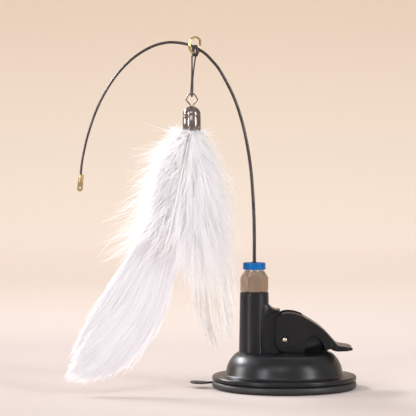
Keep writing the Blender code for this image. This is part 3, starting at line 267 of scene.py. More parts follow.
class Finish:
    # one material, whose nodes are added by name

    def __init__(self, name):
        self.material = bpy.data.materials.new(name)
        self.material.use_nodes = True
        self.nodes = self.material.node_tree.nodes
        self.links = self.material.node_tree.links
        self.shader = self.nodes["Principled BSDF"]

    def node(self, kind, settings=None, *inputs, out=0, **named):
        made = self.nodes.new("ShaderNode" + kind)
        for key, value in (settings or {}).items():
            if key == "stops":
                ramp = made.color_ramp.elements
                while len(ramp) < len(value):
                    ramp.new(0.5)
                for stop, (at, colour) in zip(ramp, value):
                    stop.position = at
                    stop.color = (*colour, 1.0)
            else:
                setattr(made, key, value)
        for key, value in list(enumerate(inputs)) + list(named.items()):
            self.feed(made.inputs[key.replace("_", " ") if isinstance(key, str) else key], value)
        return Value(self, made.outputs[out])

    def feed(self, socket, value):
        if isinstance(value, Value):
            self.links.new(value.socket, socket)
        elif isinstance(value, (tuple, list)) and socket.type == "RGBA":
            socket.default_value = (*value, 1.0)[:4]
        else:
            socket.default_value = value

    def objectPlace(self, scale=(1, 1, 1), turn=(0, 0, 0)):
        coords = self.node("TexCoord", out=3)
        return self.node("Mapping", None, coords, (0, 0, 0), turn, scale)

    def uvPlace(self, scale=(1, 1, 1)):
        coords = self.node("UVMap", {"uv_map": "UVMap"})
        return self.node("Mapping", None, coords, (0, 0, 0), (0, 0, 0), scale)

    def noise(self, where, scale, detail=3.0, rough=0.55):
        return self.node("TexNoise", None, Vector=where, Scale=scale, Detail=detail, Roughness=rough)

    def mixed(self, factor, first, second):
        made = self.nodes.new("ShaderNodeMix")
        made.data_type = "RGBA"
        self.feed(made.inputs[0], factor)
        self.feed(made.inputs[6], first)
        self.feed(made.inputs[7], second)
        return Value(self, made.outputs[2])

    def parts(self, where):
        return [Value(self, out) for out in self.node("SeparateXYZ", None, where).socket.node.outputs]

    def ramp(self, value, *stops):
        return self.node("ValToRGB", {"stops": stops}, value)

    def range(self, value, low, high, toLow=0.0, toHigh=1.0):
        return self.node("MapRange", {"clamp": True}, value, low, high, toLow, toHigh)

    def bump(self, height, distance, strength=1.0):
        return self.node("Bump", None, Height=height, Distance=distance, Strength=strength)

    def set(self, **sockets):
        for name, value in sockets.items():
            self.feed(self.shader.inputs[name.replace("_", " ")], value)
        return self


# Finishes
def mouldedPlastic(name, dark, light, roughness, grain=0.5):
    # moulded plastic: fine sand texture, soft cloudy wear and a few handling marks
    f = Finish(name)
    here = f.objectPlace()
    cloud = f.noise(here, 90.0, 4.0)
    sand = f.noise(here, 4200.0, 2.0)
    marks = f.noise(f.objectPlace((900, 900, 160), (0.4, 0.2, 0.7)), 1.0, 2.0, 0.4)
    worn = f.range(marks, 0.62, 0.75)
    f.set(Base_Color=f.mixed(f.range(cloud, 0.35, 0.7), dark, light),
          Roughness=f.range(cloud, 0.3, 0.7, roughness - 0.04, roughness + 0.05) + worn * 0.06,
          Normal=f.bump(sand * grain + cloud * 0.3, 0.00002, 0.35), Specular_IOR_Level=0.33)
    return f.material


def softRubber(name):
    # black rubber: matt, with a little bloom and fine pores
    f = Finish(name)
    here = f.objectPlace()
    bloom = f.noise(here, 60.0, 5.0)
    pores = f.noise(here, 3000.0, 3.0)
    f.set(Base_Color=f.mixed(f.range(bloom, 0.4, 0.75), (0.008, 0.008, 0.009), (0.018, 0.017, 0.018)),
          Roughness=f.range(bloom, 0.3, 0.7, 0.42, 0.56),
          Normal=f.bump(pores, 0.00003, 0.3))
    return f.material


def platedMetal(name, colour, dull, roughness, lines=(1, 1, 9000), scratches=0.5, streaks=0.4, stains=1.0):
    # plated or polished metal with turning lines, faint stains and hairline scratches
    f = Finish(name)
    stain = f.noise(f.objectPlace(), 260.0, 4.0)
    turned = f.noise(f.objectPlace(lines), 1.0, 2.0)
    hair = f.noise(f.objectPlace((300, 300, 6000), (0.5, 0.3, 0.2)), 1.0, 2.0, 0.3)
    dullness = f.range(stain, 0.35, 0.72) * ((1 - streaks) * stains) + f.range(turned, 0.35, 0.65) * streaks
    f.set(Base_Color=f.mixed(dullness, colour, dull), Metallic=1.0,
          Roughness=f.range(stain, 0.3, 0.7, roughness, roughness + 0.10 * stains) + f.range(hair, 0.6, 0.8) * 0.08,
          Normal=f.bump(turned + hair * scratches, 0.000004, 0.25))
    return f.material


def glossyPlastic(name, colour, deep):
    # bright moulded ring: smooth, with faint ring lines round it
    f = Finish(name)
    cloud = f.noise(f.objectPlace(), 300.0, 3.0)
    rings = f.noise(f.objectPlace((1, 1, 5000)), 1.0, 2.0)
    f.set(Base_Color=f.mixed(f.range(cloud, 0.3, 0.7), colour, deep),
          Roughness=f.range(cloud, 0.3, 0.7, 0.28, 0.40), Normal=f.bump(rings, 0.00001, 0.4),
          Specular_IOR_Level=0.15)
    return f.material


def springSteel(name):
    # dark drawn wire with draw lines along it and a brownish oil tint
    f = Finish(name)
    drawn = f.noise(f.uvPlace((0.05, 40, 1)), 1.0, 2.0)
    tint = f.noise(f.uvPlace((0.08, 1, 1)), 1.0, 3.0)
    f.set(Base_Color=f.mixed(f.range(tint, 0.3, 0.7), (0.105, 0.088, 0.090), (0.060, 0.048, 0.050)),
          Metallic=1.0, Roughness=f.range(drawn, 0.3, 0.7, 0.20, 0.30),
          Normal=f.bump(drawn, 0.000008, 0.5))
    return f.material


def braidedCord(name):
    # thin waxed braid: two crossing sets of yarns round the cord, from its own map
    f = Finish(name)
    along, around, _ = f.parts(f.node("UVMap", {"uv_map": "UVMap"}))
    one = (along * 9.0 + around * 25.13).math("SINE")
    two = (along * 9.0 - around * 25.13).math("SINE")
    yarn = (one.math("MAXIMUM", two) + 1.0) * 0.5
    fuzz = f.noise(f.objectPlace(), 5000.0, 2.0)
    # painted shade: the colour is darker where the yarn pattern is low, in the grooves between yarns, and lighter
    # on their crowns
    f.set(Base_Color=f.mixed(f.range(yarn, 0.2, 1.0), (0.010, 0.007, 0.009), (0.060, 0.042, 0.052)),
          Roughness=f.range(fuzz, 0.3, 0.7, 0.6, 0.85), Normal=f.bump(yarn + fuzz * 0.4, 0.00005, 0.8))
    return f.material


def featherStuff(name, white, shaded, through):
    # strands: their own map gives the place along each (U) and a share of painted shade for each (V); light also
    # comes through
    f = Finish(name)
    along, tint, _ = f.parts(f.node("UVMap", {"uv_map": "UVMap"}))
    # painted shade: each strand is mixed part way to the shaded colour by its own share, and more towards its tip
    colour = f.mixed((tint * 0.75 + along * 0.25).clamped(), white, shaded)
    f.set(Base_Color=colour, Roughness=0.6, Sheen_Weight=0.15, Specular_IOR_Level=0.3)
    back = f.node("BsdfTranslucent", None, colour)
    both = f.node("MixShader", None, through, Value(f, f.shader.outputs[0]), back)
    f.links.new(both.socket, f.nodes["Material Output"].inputs[0])
    return f.material


def quillStuff(name, pale, tan):
    # horny quill: pale, a little tan along its edges, waxy
    f = Finish(name)
    cloud = f.noise(f.uvPlace((0.25, 3, 1)), 1.0, 3.0)
    f.set(Base_Color=f.mixed(f.range(cloud, 0.3, 0.7), pale, tan), Roughness=f.range(cloud, 0.3, 0.7, 0.35, 0.5))
    return f.material


blackPlastic = mouldedPlastic("blackPlastic", (0.0030, 0.0028, 0.0040), (0.0055, 0.0050, 0.0065), 0.31)
greyPlastic = mouldedPlastic("greyPlastic", (0.040, 0.040, 0.043), (0.060, 0.060, 0.063), 0.5)
blackRubber = softRubber("blackRubber")
nickel = platedMetal("platedBrass", (0.48, 0.368, 0.275), (0.37, 0.272, 0.194), 0.17,
                     (1600, 1600, 30), 0.1, 0.6, 0.3)
rimNickel = platedMetal("brightNickel", (0.62, 0.58, 0.53), (0.50, 0.46, 0.42), 0.18)
gunMetal = platedMetal("capNickel", (0.24, 0.195, 0.180), (0.20, 0.160, 0.148), 0.17,
                       (2500, 2500, 1), 0.1, 0.5, 0.3)
brass = platedMetal("brass", (0.66, 0.50, 0.28), (0.50, 0.36, 0.18), 0.20, (1, 1, 4000))
pinMetal = platedMetal("pinMetal", (0.72, 0.64, 0.52), (0.58, 0.50, 0.40), 0.28)
bluePlastic = glossyPlastic("bluePlastic", (0.0, 0.118, 0.360), (0.0, 0.092, 0.295))
rodSteel = springSteel("rodSteel")
cordBraid = braidedCord("cordBraid")
glueStuff = mouldedPlastic("glueStuff", (0.62, 0.54, 0.42), (0.70, 0.62, 0.50), 0.4)
downStuff = featherStuff("downStuff", (0.99, 0.985, 0.99), (0.985, 0.970, 0.978), 0.64)
vaneStuff = featherStuff("vaneStuff", (0.985, 0.975, 0.982), (0.880, 0.845, 0.860), 0.50)
paleVaneStuff = featherStuff("paleVaneStuff", (0.99, 0.980, 0.975), (0.975, 0.945, 0.930), 0.46)
quill = quillStuff("quill", (0.93, 0.89, 0.86), (0.82, 0.74, 0.68))
print("finishes ready")


# Suction pad
pad = {
    "radius": 36.0, "thickness": 4.1, "lipInner": 27.5, "flatRadius": 17.0, "lift": 1.0,
    "bossRadius": 11.5, "bossTop": 7.8, "tabReach": 11.2, "tabHalf": 4.7, "tabHeight": 2.9, "tabThick": 1.0,
    "neckHalf": 2.4,
}


def makePad(p):
    outer = [(0.0, p["lift"]), (p["flatRadius"], p["lift"]), (p["lipInner"] - 2, 0.25), (p["lipInner"], 0.0),
             (p["radius"] - 1.2, 0.0, 0.9), (p["radius"], 0.9, 0.9), (p["radius"], 2.9, 1.2),
             (p["radius"] - 0.9, p["thickness"], 1.2), (p["flatRadius"], p["thickness"]),
             (p["bossRadius"], 6.2, 1.0), (p["bossRadius"] - 1.6, p["bossTop"], 1.0), (3.2, p["bossTop"]),
             (3.2, 6.2), (0.0, 6.2)]
    body = lathe("suctionPadBody", rounded(outer, 1.0) * mm, segments=192)
    # pull tab: a flat oval with a raised rim that narrows to a neck where it meets the pad
    rows, cols = 44, 15
    t = np.linspace(0, 1, rows)[:, None]
    s = np.linspace(-1, 1, cols)[None, :]
    x = -(p["radius"] - 2.0) - (p["tabReach"] + 2.0) * t
    q = np.clip((t - 0.36) / 0.64, 0, 1)
    oval = np.sqrt(np.clip(1 - (2 * q - 1) ** 2, 0, 1)) * p["tabHalf"]
    neck = p["neckHalf"] * (1 - 0.45 * np.sin(np.pi * np.clip(t / 0.42, 0, 1)))
    half = np.where(t < 0.36, neck, np.maximum(oval, neck * (1 - q * 2.5)))
    half = np.maximum(half, 0.05)
    y = s * half
    rim = 0.28 * np.clip((np.abs(s) - 0.72) / 0.2, 0, 1) * np.clip((t - 0.4) / 0.1, 0, 1)
    middle = p["tabHeight"] - 0.35 * np.sin(np.pi * t)
    edge = np.clip(1 - np.abs(s) ** 8, 0, 1) * np.clip(1 - t ** 24, 0, 1)
    upper, lower = (np.stack([x + 0 * s, y, middle + rise * edge], -1).reshape(-1, 3)
                    for rise in (p["tabThick"] / 2 + rim, -p["tabThick"] / 2))
    quads = gridFaces(rows, cols)
    tab = toMesh("pullTab", np.vstack([upper, lower]) * mm, np.vstack([quads, quads[:, ::-1] + rows * cols]))
    tidyShape(tab, 40)
    for piece in (body, tab):
        place(piece, "base", "rubber", blackRubber)
    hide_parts("suction_pad")


makePad(pad)
print("pad ready")


# Hard parts that keep their CAD shape: node, name, angle of a sharp edge, body, slot and finish
for node, name, sharp, body, slot, finish in (
        ("base_housing", "baseHousing", 32, "base", "black_plastic", blackPlastic),
        ("pull_stem", "pullStem", 30, "stem", "grey_plastic", greyPlastic),
        ("collet", "collet", 30, "grip", "brass", brass),
        ("seal_ring", "sealRing", 60, "base", "rubber", blackRubber),
        ("glue_plug", "gluePlug", 40, "tassel", "glue", glueStuff)):
    place(fineCopy(node, name, sharp), body, slot, finish, node)
tipDrop = 2.8   # the crimp sits this much lower in the photograph than on the CAD
tip = fineCopy("tip_crimp", "tipCrimp", 25)
move(tip, spotsOf(tip) - np.array([0.0, 0.0, tipDrop]) * mm)
place(tip, "wand", "brass", brass, "tip_crimp")
print("housing and small hard parts ready")


# Locking lever
lever = {
    # the lever's top and underside on the CAD and on the real one, sideways and height in mm
    "cadTop": [(-4.5, 34.5), (-2.1, 37.6), (1.9, 38.6), (6.9, 37.8), (9.9, 36.3), (13.5, 34.2), (16.8, 32.2),
               (19.9, 30.6), (21.9, 28.2), (23.7, 26.0), (25.1, 23.9), (26.8, 22.5), (29.5, 22.1), (32.1, 21.3),
               (33.8, 20.1)],
    "top": [(-4.5, 34.5), (-2.1, 37.6), (1.9, 38.6), (6.9, 37.7), (9.9, 36.4), (13.5, 34.4), (16.8, 32.2),
            (19.9, 29.6), (21.9, 27.5), (23.7, 25.4), (25.1, 23.3), (26.8, 21.9), (29.5, 21.5), (32.1, 21.1),
            (33.8, 20.1)],
    "under": [(25.2, 19.1), (28.5, 18.8), (33.2, 19.4)], "raise": [0.1, 0.35, 0.1],
    "crown": 0.6, "flatHalf": 5.8, "half": 8.2,
    # the inside of the arm by the finger arch, its free edge and its edge inside the arm
    "lipEdge": [(14.2, 26.9), (15.7, 26.5), (17.1, 25.4), (18.5, 23.7), (19.7, 21.4), (20.6, 19.2)],
    "lipRoot": [(14.8, 28.2), (17.1, 28.3), (19.5, 27.4), (21.5, 25.2), (23.1, 22.3), (24.1, 20.6)],
    "lipDepth": (5.75, 7.1),
}


def makeLever(p):
    # the CAD's lever with its top eased to a rounder curve, falling a little towards both cheeks, and a thinner tab
    piece = fineCopy("lock_lever", "lockLever", 25)
    x, y, z = (spotsOf(piece) / mm).T
    old, new = (np.interp(x, *zip(*p[k])) for k in ("cadTop", "top"))
    low = np.interp(x, *zip(*p["under"]))
    share = np.where(x > 24.5, np.clip((z - low) / (old - low), 0, 1), np.clip((z - old + 3.0) / 3.0, 0, 1))
    side = np.clip((np.abs(y) - p["flatHalf"]) / (p["half"] - p["flatHalf"]), 0, 1) ** 1.3
    fade = np.clip((x + 4.6) / 2.5, 0, 1) * np.clip((25.5 - x) / 3.0, 0, 1)
    lift = np.interp(x, [24.5, 28.5, 33.2], p["raise"]) * (x > 24.5)
    z = z + (new - old) * share + lift * (1 - share) - p["crown"] * side * fade * share
    move(piece, np.stack([x, y, z], -1) * mm)
    place(piece, "lever", "black_plastic", blackPlastic, "lock_lever")
    edge, root = (smoothLine(p[k], 6) for k in ("lipEdge", "lipRoot"))
    for sign, name in ((-1, "leverLipFront"), (1, "leverLipBack")):
        near, far = (sign * d for d in p["lipDepth"])
        rows = np.stack([np.insert(line, 1, depth, 1) for line, depth in
                         ((edge, near), (root, near), (root, far), (edge, far))], 1)
        lip = toMesh(name, rows.reshape(-1, 3) * mm, gridFaces(len(edge), 4, True))
        closeEnds(lip, 4, len(edge))
        lip.data.set_sharp_from_angle(angle=math.radians(40))
        place(lip, "lever", "black_plastic", blackPlastic)


makeLever(lever)
print("lever ready")


# Hex body of the push-in fitting
fitting = {"flats": 12.0, "bottom": 48.3, "top": 58.5, "mouth": 5.0, "chamfer": 3.2, "foot": 6.5, "footRise": 0.5,
           "bore": 3.6, "shank": 3.2, "wall": 0.8, "shankFoot": 42.3, "soft": 0.24}


def makeFitting(p):
    # A hexagon r = apothem / cos(angle from the face's middle). A cone cuts its top: where the cone's radius,
    # growing steadily downwards from the mouth, meets the hexagon's is a curve on each face; so at the foot
    part = np.radians(np.linspace(-30, 30, 15)[:-1])
    turn = (np.radians(np.arange(6) * 60 - 90)[:, None] + part).ravel()
    edge = np.tile(p["flats"] / 2 / np.cos(part), 6)
    corner = p["flats"] / 2 / math.cos(math.pi / 6)
    meet = p["top"] - (edge - p["mouth"]) * p["chamfer"] / (corner - p["mouth"])
    rise = p["bottom"] + np.maximum(edge - p["foot"], 0.02) * p["footRise"] / (corner - p["foot"])
    flat = np.ones_like(edge)
    rows = [(p["bore"] * flat, p["top"] * flat), (p["mouth"] * flat, p["top"] * flat)]
    rows += [(p["mouth"] + (edge - p["mouth"]) * t, p["top"] + (meet - p["top"]) * t) for t in (0.5, 1.0)]
    rows += [(edge, meet + (rise - meet) * t) for t in (0.33, 0.67, 1.0)]
    rows += [(np.minimum(edge, p["foot"]) - 0.02, p["bottom"] * flat), (p["shank"] * flat, p["bottom"] * flat),
             (p["shank"] * flat, p["shankFoot"] * flat), (p["shank"] * flat - p["wall"], p["shankFoot"] * flat),
             (p["shank"] * flat - p["wall"], (p["bottom"] + 1.5) * flat),
             (p["bore"] * flat, (p["bottom"] + 1.6) * flat)]
    r, z = (np.stack([row[k] for row in rows]) for k in (0, 1))
    verts = np.stack([postX + r * np.cos(turn), r * np.sin(turn), z], -1).reshape(-1, 3) * mm
    piece = toMesh("fittingBody", verts, gridFaces(len(rows), len(turn), True, True))
    tidyShape(piece, 18)
    bevel = piece.modifiers.new("softEdges", "BEVEL")
    bevel.width, bevel.segments = p["soft"] * mm, 3
    bevel.limit_method, bevel.angle_limit = "ANGLE", math.radians(20)
    bevel.harden_normals = True
    place(piece, "base", "nickel", nickel, "fitting_body")


postX = -15.0
makeFitting(fitting)
print("fitting ready")


# Lever pin
pin = {"radius": 1.25, "half": 7.85, "height": 24.6}


def makePin(p):
    # peened rivet ends: the radius falls to the middle of each end over a low dome
    rows = [(0.0, -p["half"] - 0.12), (0.45, -p["half"] - 0.08), (0.9, -p["half"] + 0.02), (1.18, -p["half"] + 0.2),
            (p["radius"], -p["half"] + 0.45), (p["radius"], p["half"] - 0.45), (1.18, p["half"] - 0.2),
            (0.9, p["half"] - 0.02), (0.45, p["half"] + 0.08), (0.0, p["half"] + 0.12)]
    piece = lathe("leverPin", np.array(rows) * mm, segments=40, closed=False, sharp=60)
    x, y, z = spotsOf(piece).T
    move(piece, np.stack([x, z, y + p["height"] * mm], -1))   # laid on its side
    tidyShape(piece, 60)
    place(piece, "stem", "pin_steel", pinMetal, "lever_pin")


makePin(pin)


# Fitting's ring, collar and sleeve
collar = {"bore": 2.15, "radius": 5.6, "lip": 5.7, "bottom": 59.3, "top": 62.7, "skirt": 5.05, "tubeFoot": 56.75}
ring = {"inner": 3.0, "outer": 4.9, "bottom": 58.8, "top": 60.1, "neck": 3.45, "foot": 57.2}


def makeCollar(c, r):
    outline = [(c["bore"], c["top"], 0.5), (c["radius"], c["top"], 1.4), (c["radius"], c["bottom"] + 1.0, 0.5),
               (c["lip"], c["bottom"] + 0.7, 0.5), (c["lip"], c["bottom"], 0.6), (c["skirt"], c["bottom"]),
               (c["skirt"], c["top"] - 1.3), (c["bore"] + 0.7, c["top"] - 1.3), (c["bore"] + 0.7, c["tubeFoot"]),
               (c["bore"], c["tubeFoot"])]
    piece = lathe("releaseCollar", rounded(outline, 0.5) * mm, (postX * mm, 0.0), 96)
    place(piece, "collar", "blue_plastic", bluePlastic, "release_collar")
    outline = [(r["inner"], r["top"]), (r["outer"], r["top"], 0.4), (r["outer"], r["bottom"], 0.5),
               (r["neck"], r["bottom"]), (r["neck"], r["foot"]), (r["inner"], r["foot"])]
    piece = lathe("retainingRing", rounded(outline, 0.5) * mm, (postX * mm, 0.0), 96)
    place(piece, "base", "nickel", rimNickel, "retaining_ring")
    outline = [(0.95, 61.8), (2.0, 61.8, 1.0), (2.0, 50.6), (0.95, 50.6)]
    piece = lathe("rodSleeve", rounded(outline, 0.3) * mm, (postX * mm, 0.0), 48)
    place(piece, "wand", "brass", brass, "rod_sleeve")


makeCollar(collar, ring)
print("collar and sleeve ready")


# Rod
rod = {
    # sideways and height, the same route as the CAD's rod
    "route": [(-15.0, 62.7), (-15.0, 73.4), (-15.2, 85.4), (-15.8, 97.4), (-16.8, 109.4), (-18.6, 121.4),
              (-21.3, 133.4), (-25.4, 145.4), (-31.6, 157.4), (-35.9, 163.0), (-40.8, 167.6), (-48.3, 171.2),
              (-55.7, 172.3), (-60.7, 171.8), (-65.6, 170.3), (-70.6, 167.7), (-75.6, 164.2), (-80.5, 159.6),
              (-84.8, 154.4), (-88.7, 148.4), (-91.9, 142.4), (-94.5, 136.4), (-96.6, 130.4), (-98.4, 124.4),
              (-99.8, 118.4), (-100.9, 112.4), (-101.5, 106.4), (-101.7, 103.6)],
    "foot": 47.6, "radius": 0.88, "tipShare": 0.66,
}


def makeRod(r):
    arch = smoothLine([(x, 0.0, z) for x, z in r["route"]], 8)
    foot = [(postX, 0.0, z) for z in np.linspace(r["foot"], 62.0, 6)]
    line = np.vstack([foot, arch]) * mm
    run = runOf(line)
    radius = r["radius"] * mm * (1 - (1 - r["tipShare"]) * run / run[-1])
    place(tube("rod", line, radius, 20), "wand", "rod_steel", rodSteel, "rod")
    return arch


rodLine = makeRod(rod)
print("rod ready")


# Split ring, hitch and hanging loop
splitRing = {"centre": (-44.5, 0.0, 170.75), "radius": 4.15, "wire": 0.45, "pitch": 0.95, "yaw": 48.0, "turns": 2}
loop = {
    # along the CAD's cord, with its foot under the middle of the eye's top wire
    "route": [(-46.05, 0.00, 165.65), (-46.05, 0.20, 160.00), (-46.15, 0.45, 155.00), (-46.35, 0.60, 151.00),
              (-46.50, 0.80, 149.00), (-46.60, 1.00, 147.50), (-46.58, 1.05, 146.60), (-46.42, 0.76, 145.80),
              (-46.20, 0.00, 145.42), (-45.98, -0.76, 145.80), (-45.82, -1.05, 146.60), (-45.76, -1.00, 147.50),
              (-45.70, -0.80, 149.00), (-45.70, -0.60, 151.00), (-45.60, -0.55, 155.00), (-45.05, -0.20, 160.00),
              (-44.25, 0.00, 165.65)],
    "radius": 0.375,
}
hitch = {"halfWidth": 1.9, "yaw": 24.0, "turns": 2, "pitch": 0.85, "top": 170.7, "bottom": 165.55, "x": -44.5}


def yawed(degrees):
    # level directions along and square to a bearing
    c, s = math.cos(math.radians(degrees)), math.sin(math.radians(degrees))
    return np.array([c, s, 0]), np.array([-s, c, 0])


def makeRing(r):
    # a helix of two turns whose middle plane is upright and turned by the yaw
    flat, axle = yawed(r["yaw"])
    a = np.linspace(0, 2 * np.pi * r["turns"], 96 * r["turns"] + 1) + np.pi / 6
    share = np.linspace(-0.5, 0.5, len(a))
    step = np.tanh(share * 9) / 2   # the wire crosses over in one short stretch, as a split ring's does
    circle = np.outer(np.cos(a), flat) + np.outer(np.sin(a), (0, 0, 1))
    line = np.array(r["centre"]) + circle * r["radius"] + np.outer(step * 0.55 + share * 0.45, axle) * r["pitch"]
    place(tube("splitRing", line * mm, r["wire"] * mm, 14), "wand", "brass", brass, "split_ring")


def makeHitch(h):
    # turns round the rod and the ring: half rings in an upright plane that step along the rod
    along, across = yawed(h["yaw"])
    middle, half = np.array([h["x"], 0, (h["top"] + h["bottom"]) / 2]), (h["top"] - h["bottom"]) / 2
    a = np.linspace(-np.pi / 2, 2 * np.pi * h["turns"] - np.pi / 2, 40 * h["turns"])
    share = np.linspace(-0.5, 0.5, len(a))
    line = (middle + np.outer(np.cos(a), across) * h["halfWidth"] + np.outer(np.sin(a), (0, 0, half))
            + np.outer(share * h["turns"] * h["pitch"], along))
    place(tube("cordHitch", line * mm, loop["radius"] * mm, 12), "wand", "cord", cordBraid, "cord_hitch")


def makeLoop(c):
    line = smoothLine(c["route"], 10) * mm
    piece = tube("hangerCord", line, c["radius"] * mm, 14)
    place(piece, "hanger", "cord", cordBraid, "hanger_cord")


makeRing(splitRing)
makeHitch(hitch)
makeLoop(loop)
print("ring and cord ready")


# Wire eye and cap
tasselX = -46.2
eye = {"wire": 0.36, "foot": 134.6,
       "corners": [(-0.35, 140.6), (-0.75, 141.3), (-2.6, 143.5), (-2.6, 144.4), (-1.35, 146.4), (0.0, 146.6),
                   (1.35, 146.4), (2.65, 144.4), (2.65, 143.5), (0.95, 141.4), (0.5, 140.9)]}
cap = {"radius": 4.5, "top": 140.55, "mouth": 128.55, "dome": 4.0, "wall": 0.6, "groove": 136.05, "hole": 0.55}


def makeEye(e):
    # a bent wire: shaft up through the cap's top, then round the eye
    route = [(0.0, e["foot"]), (0.0, 137.0), (-0.1, 139.6)] + e["corners"]
    line = smoothLine([(tasselX + x, 0.0, z) for x, z in route], 8) * mm
    place(tube("wireEye", line, e["wire"] * mm, 12), "tassel", "nickel", gunMetal, "wire_eye")


def capDome(c, inset, angles):
    # from the hole to the wall: the radius grows with the sine, the height falls with a power of 1 - cosine
    return [(c["hole"] + (c["radius"] - inset - c["hole"]) * math.sin(a),
             c["top"] - inset - (c["dome"] - inset) * (1 - math.cos(a)) ** 0.9) for a in angles]


def makeCap(c):
    dome = capDome(c, 0.0, np.linspace(0.08, math.pi / 2, 16))
    wall = [(c["radius"], c["groove"] + 0.35), (c["radius"] - 0.22, c["groove"] + 0.12),
            (c["radius"] - 0.22, c["groove"] - 0.12), (c["radius"], c["groove"] - 0.35),
            (c["radius"], c["mouth"] + 0.35), (c["radius"] - 0.12, c["mouth"] + 0.08),
            (c["radius"] - 0.3, c["mouth"]), (c["radius"] - c["wall"], c["mouth"])]
    inside = capDome(c, c["wall"], np.linspace(math.pi / 2, 0.1, 12))
    piece = lathe("featherCap", np.array(dome + wall + inside) * mm, (tasselX * mm, 0.0), 96, True, 50)
    place(piece, "tassel", "nickel", gunMetal, "feather_cap")


makeEye(eye)
makeCap(cap)
print("eye and cap ready")


# Feathers
# Ends of the CAD's plumes, in mm: how far out they are and how far down, as shares, to the left and to the right
bell = {
    "axis": -46.2, "top": 127.6, "drop": 85.0, "left": 36.5, "right": 24.5, "deep": 21.5, "root": 3.6,
    "downShares": [0, 0.035, 0.08, 0.15, 0.24, 0.35, 0.47, 0.60, 0.74, 0.88, 1.0, 1.2],
    "leftShares": [0.06, 0.28, 0.44, 0.55, 0.63, 0.70, 0.77, 0.84, 0.92, 0.98, 1.0, 0.98],
    "rightShares": [0.06, 0.26, 0.40, 0.54, 0.70, 0.83, 0.92, 0.98, 1.0, 0.98, 0.93, 0.85],
}
# Down plumes: first and last bearing in degrees, share of the drop, strands, their slope below level in degrees at
# the top and at the bottom, how far they bulge upwards, how far the longest wisps stand out, how far out the quill
# they leave is as a share of the bell, and the CAD node that each stands for
plumes = {
    "plumeLeftFront": {"bearings": (176, 252), "reach": 0.80, "count": 3600, "slope": (20, 50), "bulge": -0.13,
                       "wisp": 0.44, "quillOut": 0.55, "node": "plume_left_front"},
    "plumeLeftBack": {"bearings": (108, 190), "reach": 0.80, "count": 3400, "slope": (20, 50), "bulge": -0.13,
                      "wisp": 0.44, "quillOut": 0.45, "node": "plume_left_back"},
    "plumeFront": {"bearings": (240, 313), "reach": 0.92, "count": 3000, "slope": (48, 74), "bulge": 0.0,
                   "wisp": 0.24, "quillOut": 0.50, "node": "plume_front"},
    "plumeRight": {"bearings": (-54, 54), "reach": 0.98, "count": 3800, "slope": (42, 74), "bulge": 0.03,
                   "wisp": 0.26, "quillOut": 0.42, "node": "plume_right"},
    "plumeBack": {"bearings": (46, 113), "reach": 0.80, "count": 2300, "slope": (45, 72), "bulge": 0.02,
                  "wisp": 0.26, "quillOut": 0.42, "node": "plume_back"},
}
# The quill that shows on the front of the down, in mm
frontQuill = [(-46.5, -3.0, 128.2), (-48.2, -6.4, 121.0), (-50.3, -10.2, 111.0), (-52.5, -13.2, 101.0),
              (-55.0, -15.6, 88.0), (-57.9, -17.2, 75.6), (-61.2, -17.6, 66.0)]
# Long feathers, in mm: places of the quill with the vane's half width at each, the side it faces in degrees, then
# its strands: where along the quill they start, how many, how long as shares of it, how wide, and how deep they lie
longFeathers = {
    "longFeatherLeft": {
        "quill": [(-47.1, -0.9, 128.25, 0.3), (-49.4, -1.4, 110.9, 1.6), (-54.2, -2.8, 91.0, 4.2),
                  (-60.0, -6.0, 72.5, 8.2), (-65.8, -10.9, 56.3, 11.8), (-73.4, -17.3, 39.0, 13.6),
                  (-84.6, -23.7, 25.0, 13.2), (-96.3, -28.2, 14.6, 11.4), (-104.0, -30.7, 10.0, 8.6),
                  (-108.8, -31.4, 7.8, 5.4)],
        "turn": -20, "from": 0.16, "strands": 2300, "long": (0.20, 0.46), "width": (0.45, 0.85), "depth": 0.9,
        "radius": 0.50, "tip": 0.10, "stuff": vaneStuff, "node": "long_feather_left",
    },
    "longFeatherLeftBack": {
        "quill": [(-47.2, 0.8, 128.25, 0.3), (-51.3, 0.6, 110.9, 1.6), (-58.0, -0.6, 91.0, 4.6),
                  (-66.3, -4.4, 72.5, 8.0), (-75.0, -9.2, 56.3, 9.2), (-84.4, -14.4, 41.5, 8.4),
                  (-94.2, -19.6, 29.0, 7.2), (-102.2, -23.0, 20.4, 5.0), (-107.0, -24.8, 15.6, 2.6)],
        "turn": -14, "from": 0.16, "strands": 900, "long": (0.20, 0.50), "width": (0.35, 0.70), "depth": 0.9,
        "radius": 0.40, "tip": 0.10, "stuff": vaneStuff, "node": "long_feather_left_back",
    },
    "longFeatherRight": {
        "quill": [(-45.2, 0.4, 128.25, 0.3), (-43.0, 3.2, 110.9, 2.0), (-40.2, 7.0, 91.0, 5.8),
                  (-37.6, 10.9, 72.5, 10.0), (-36.6, 15.4, 53.9, 12.6), (-34.8, 19.2, 36.5, 12.0),
                  (-32.2, 22.1, 22.9, 8.4), (-30.6, 23.4, 14.4, 5.2), (-29.8, 23.7, 10.4, 2.4)],
        "turn": 10, "from": 0.14, "strands": 360, "long": (0.22, 0.50), "width": (0.25, 0.50), "depth": 0.6,
        "radius": 0.35, "tip": 0.08, "stuff": paleVaneStuff, "node": "long_feather_right",
    },
}
quillShown = 0.42   # share of a long feather's quill that can be seen
parting = smoothLine(frontQuill, 12)


def bellRadius(bearing, down):
    # an ellipse round the axis, wider to the left, times the share at this depth blended from left to right
    c, s = np.cos(bearing), np.sin(bearing)
    side = np.where(c < 0, bell["left"], bell["right"])
    widest = 1 / np.sqrt((c / side) ** 2 + (s / bell["deep"]) ** 2)
    toRight = (1 + c) / 2
    share = (np.interp(down, bell["downShares"], bell["leftShares"]) * (1 - toRight)
             + np.interp(down, bell["downShares"], bell["rightShares"]) * toRight)
    return bell["root"] + (widest - bell["root"]) * share


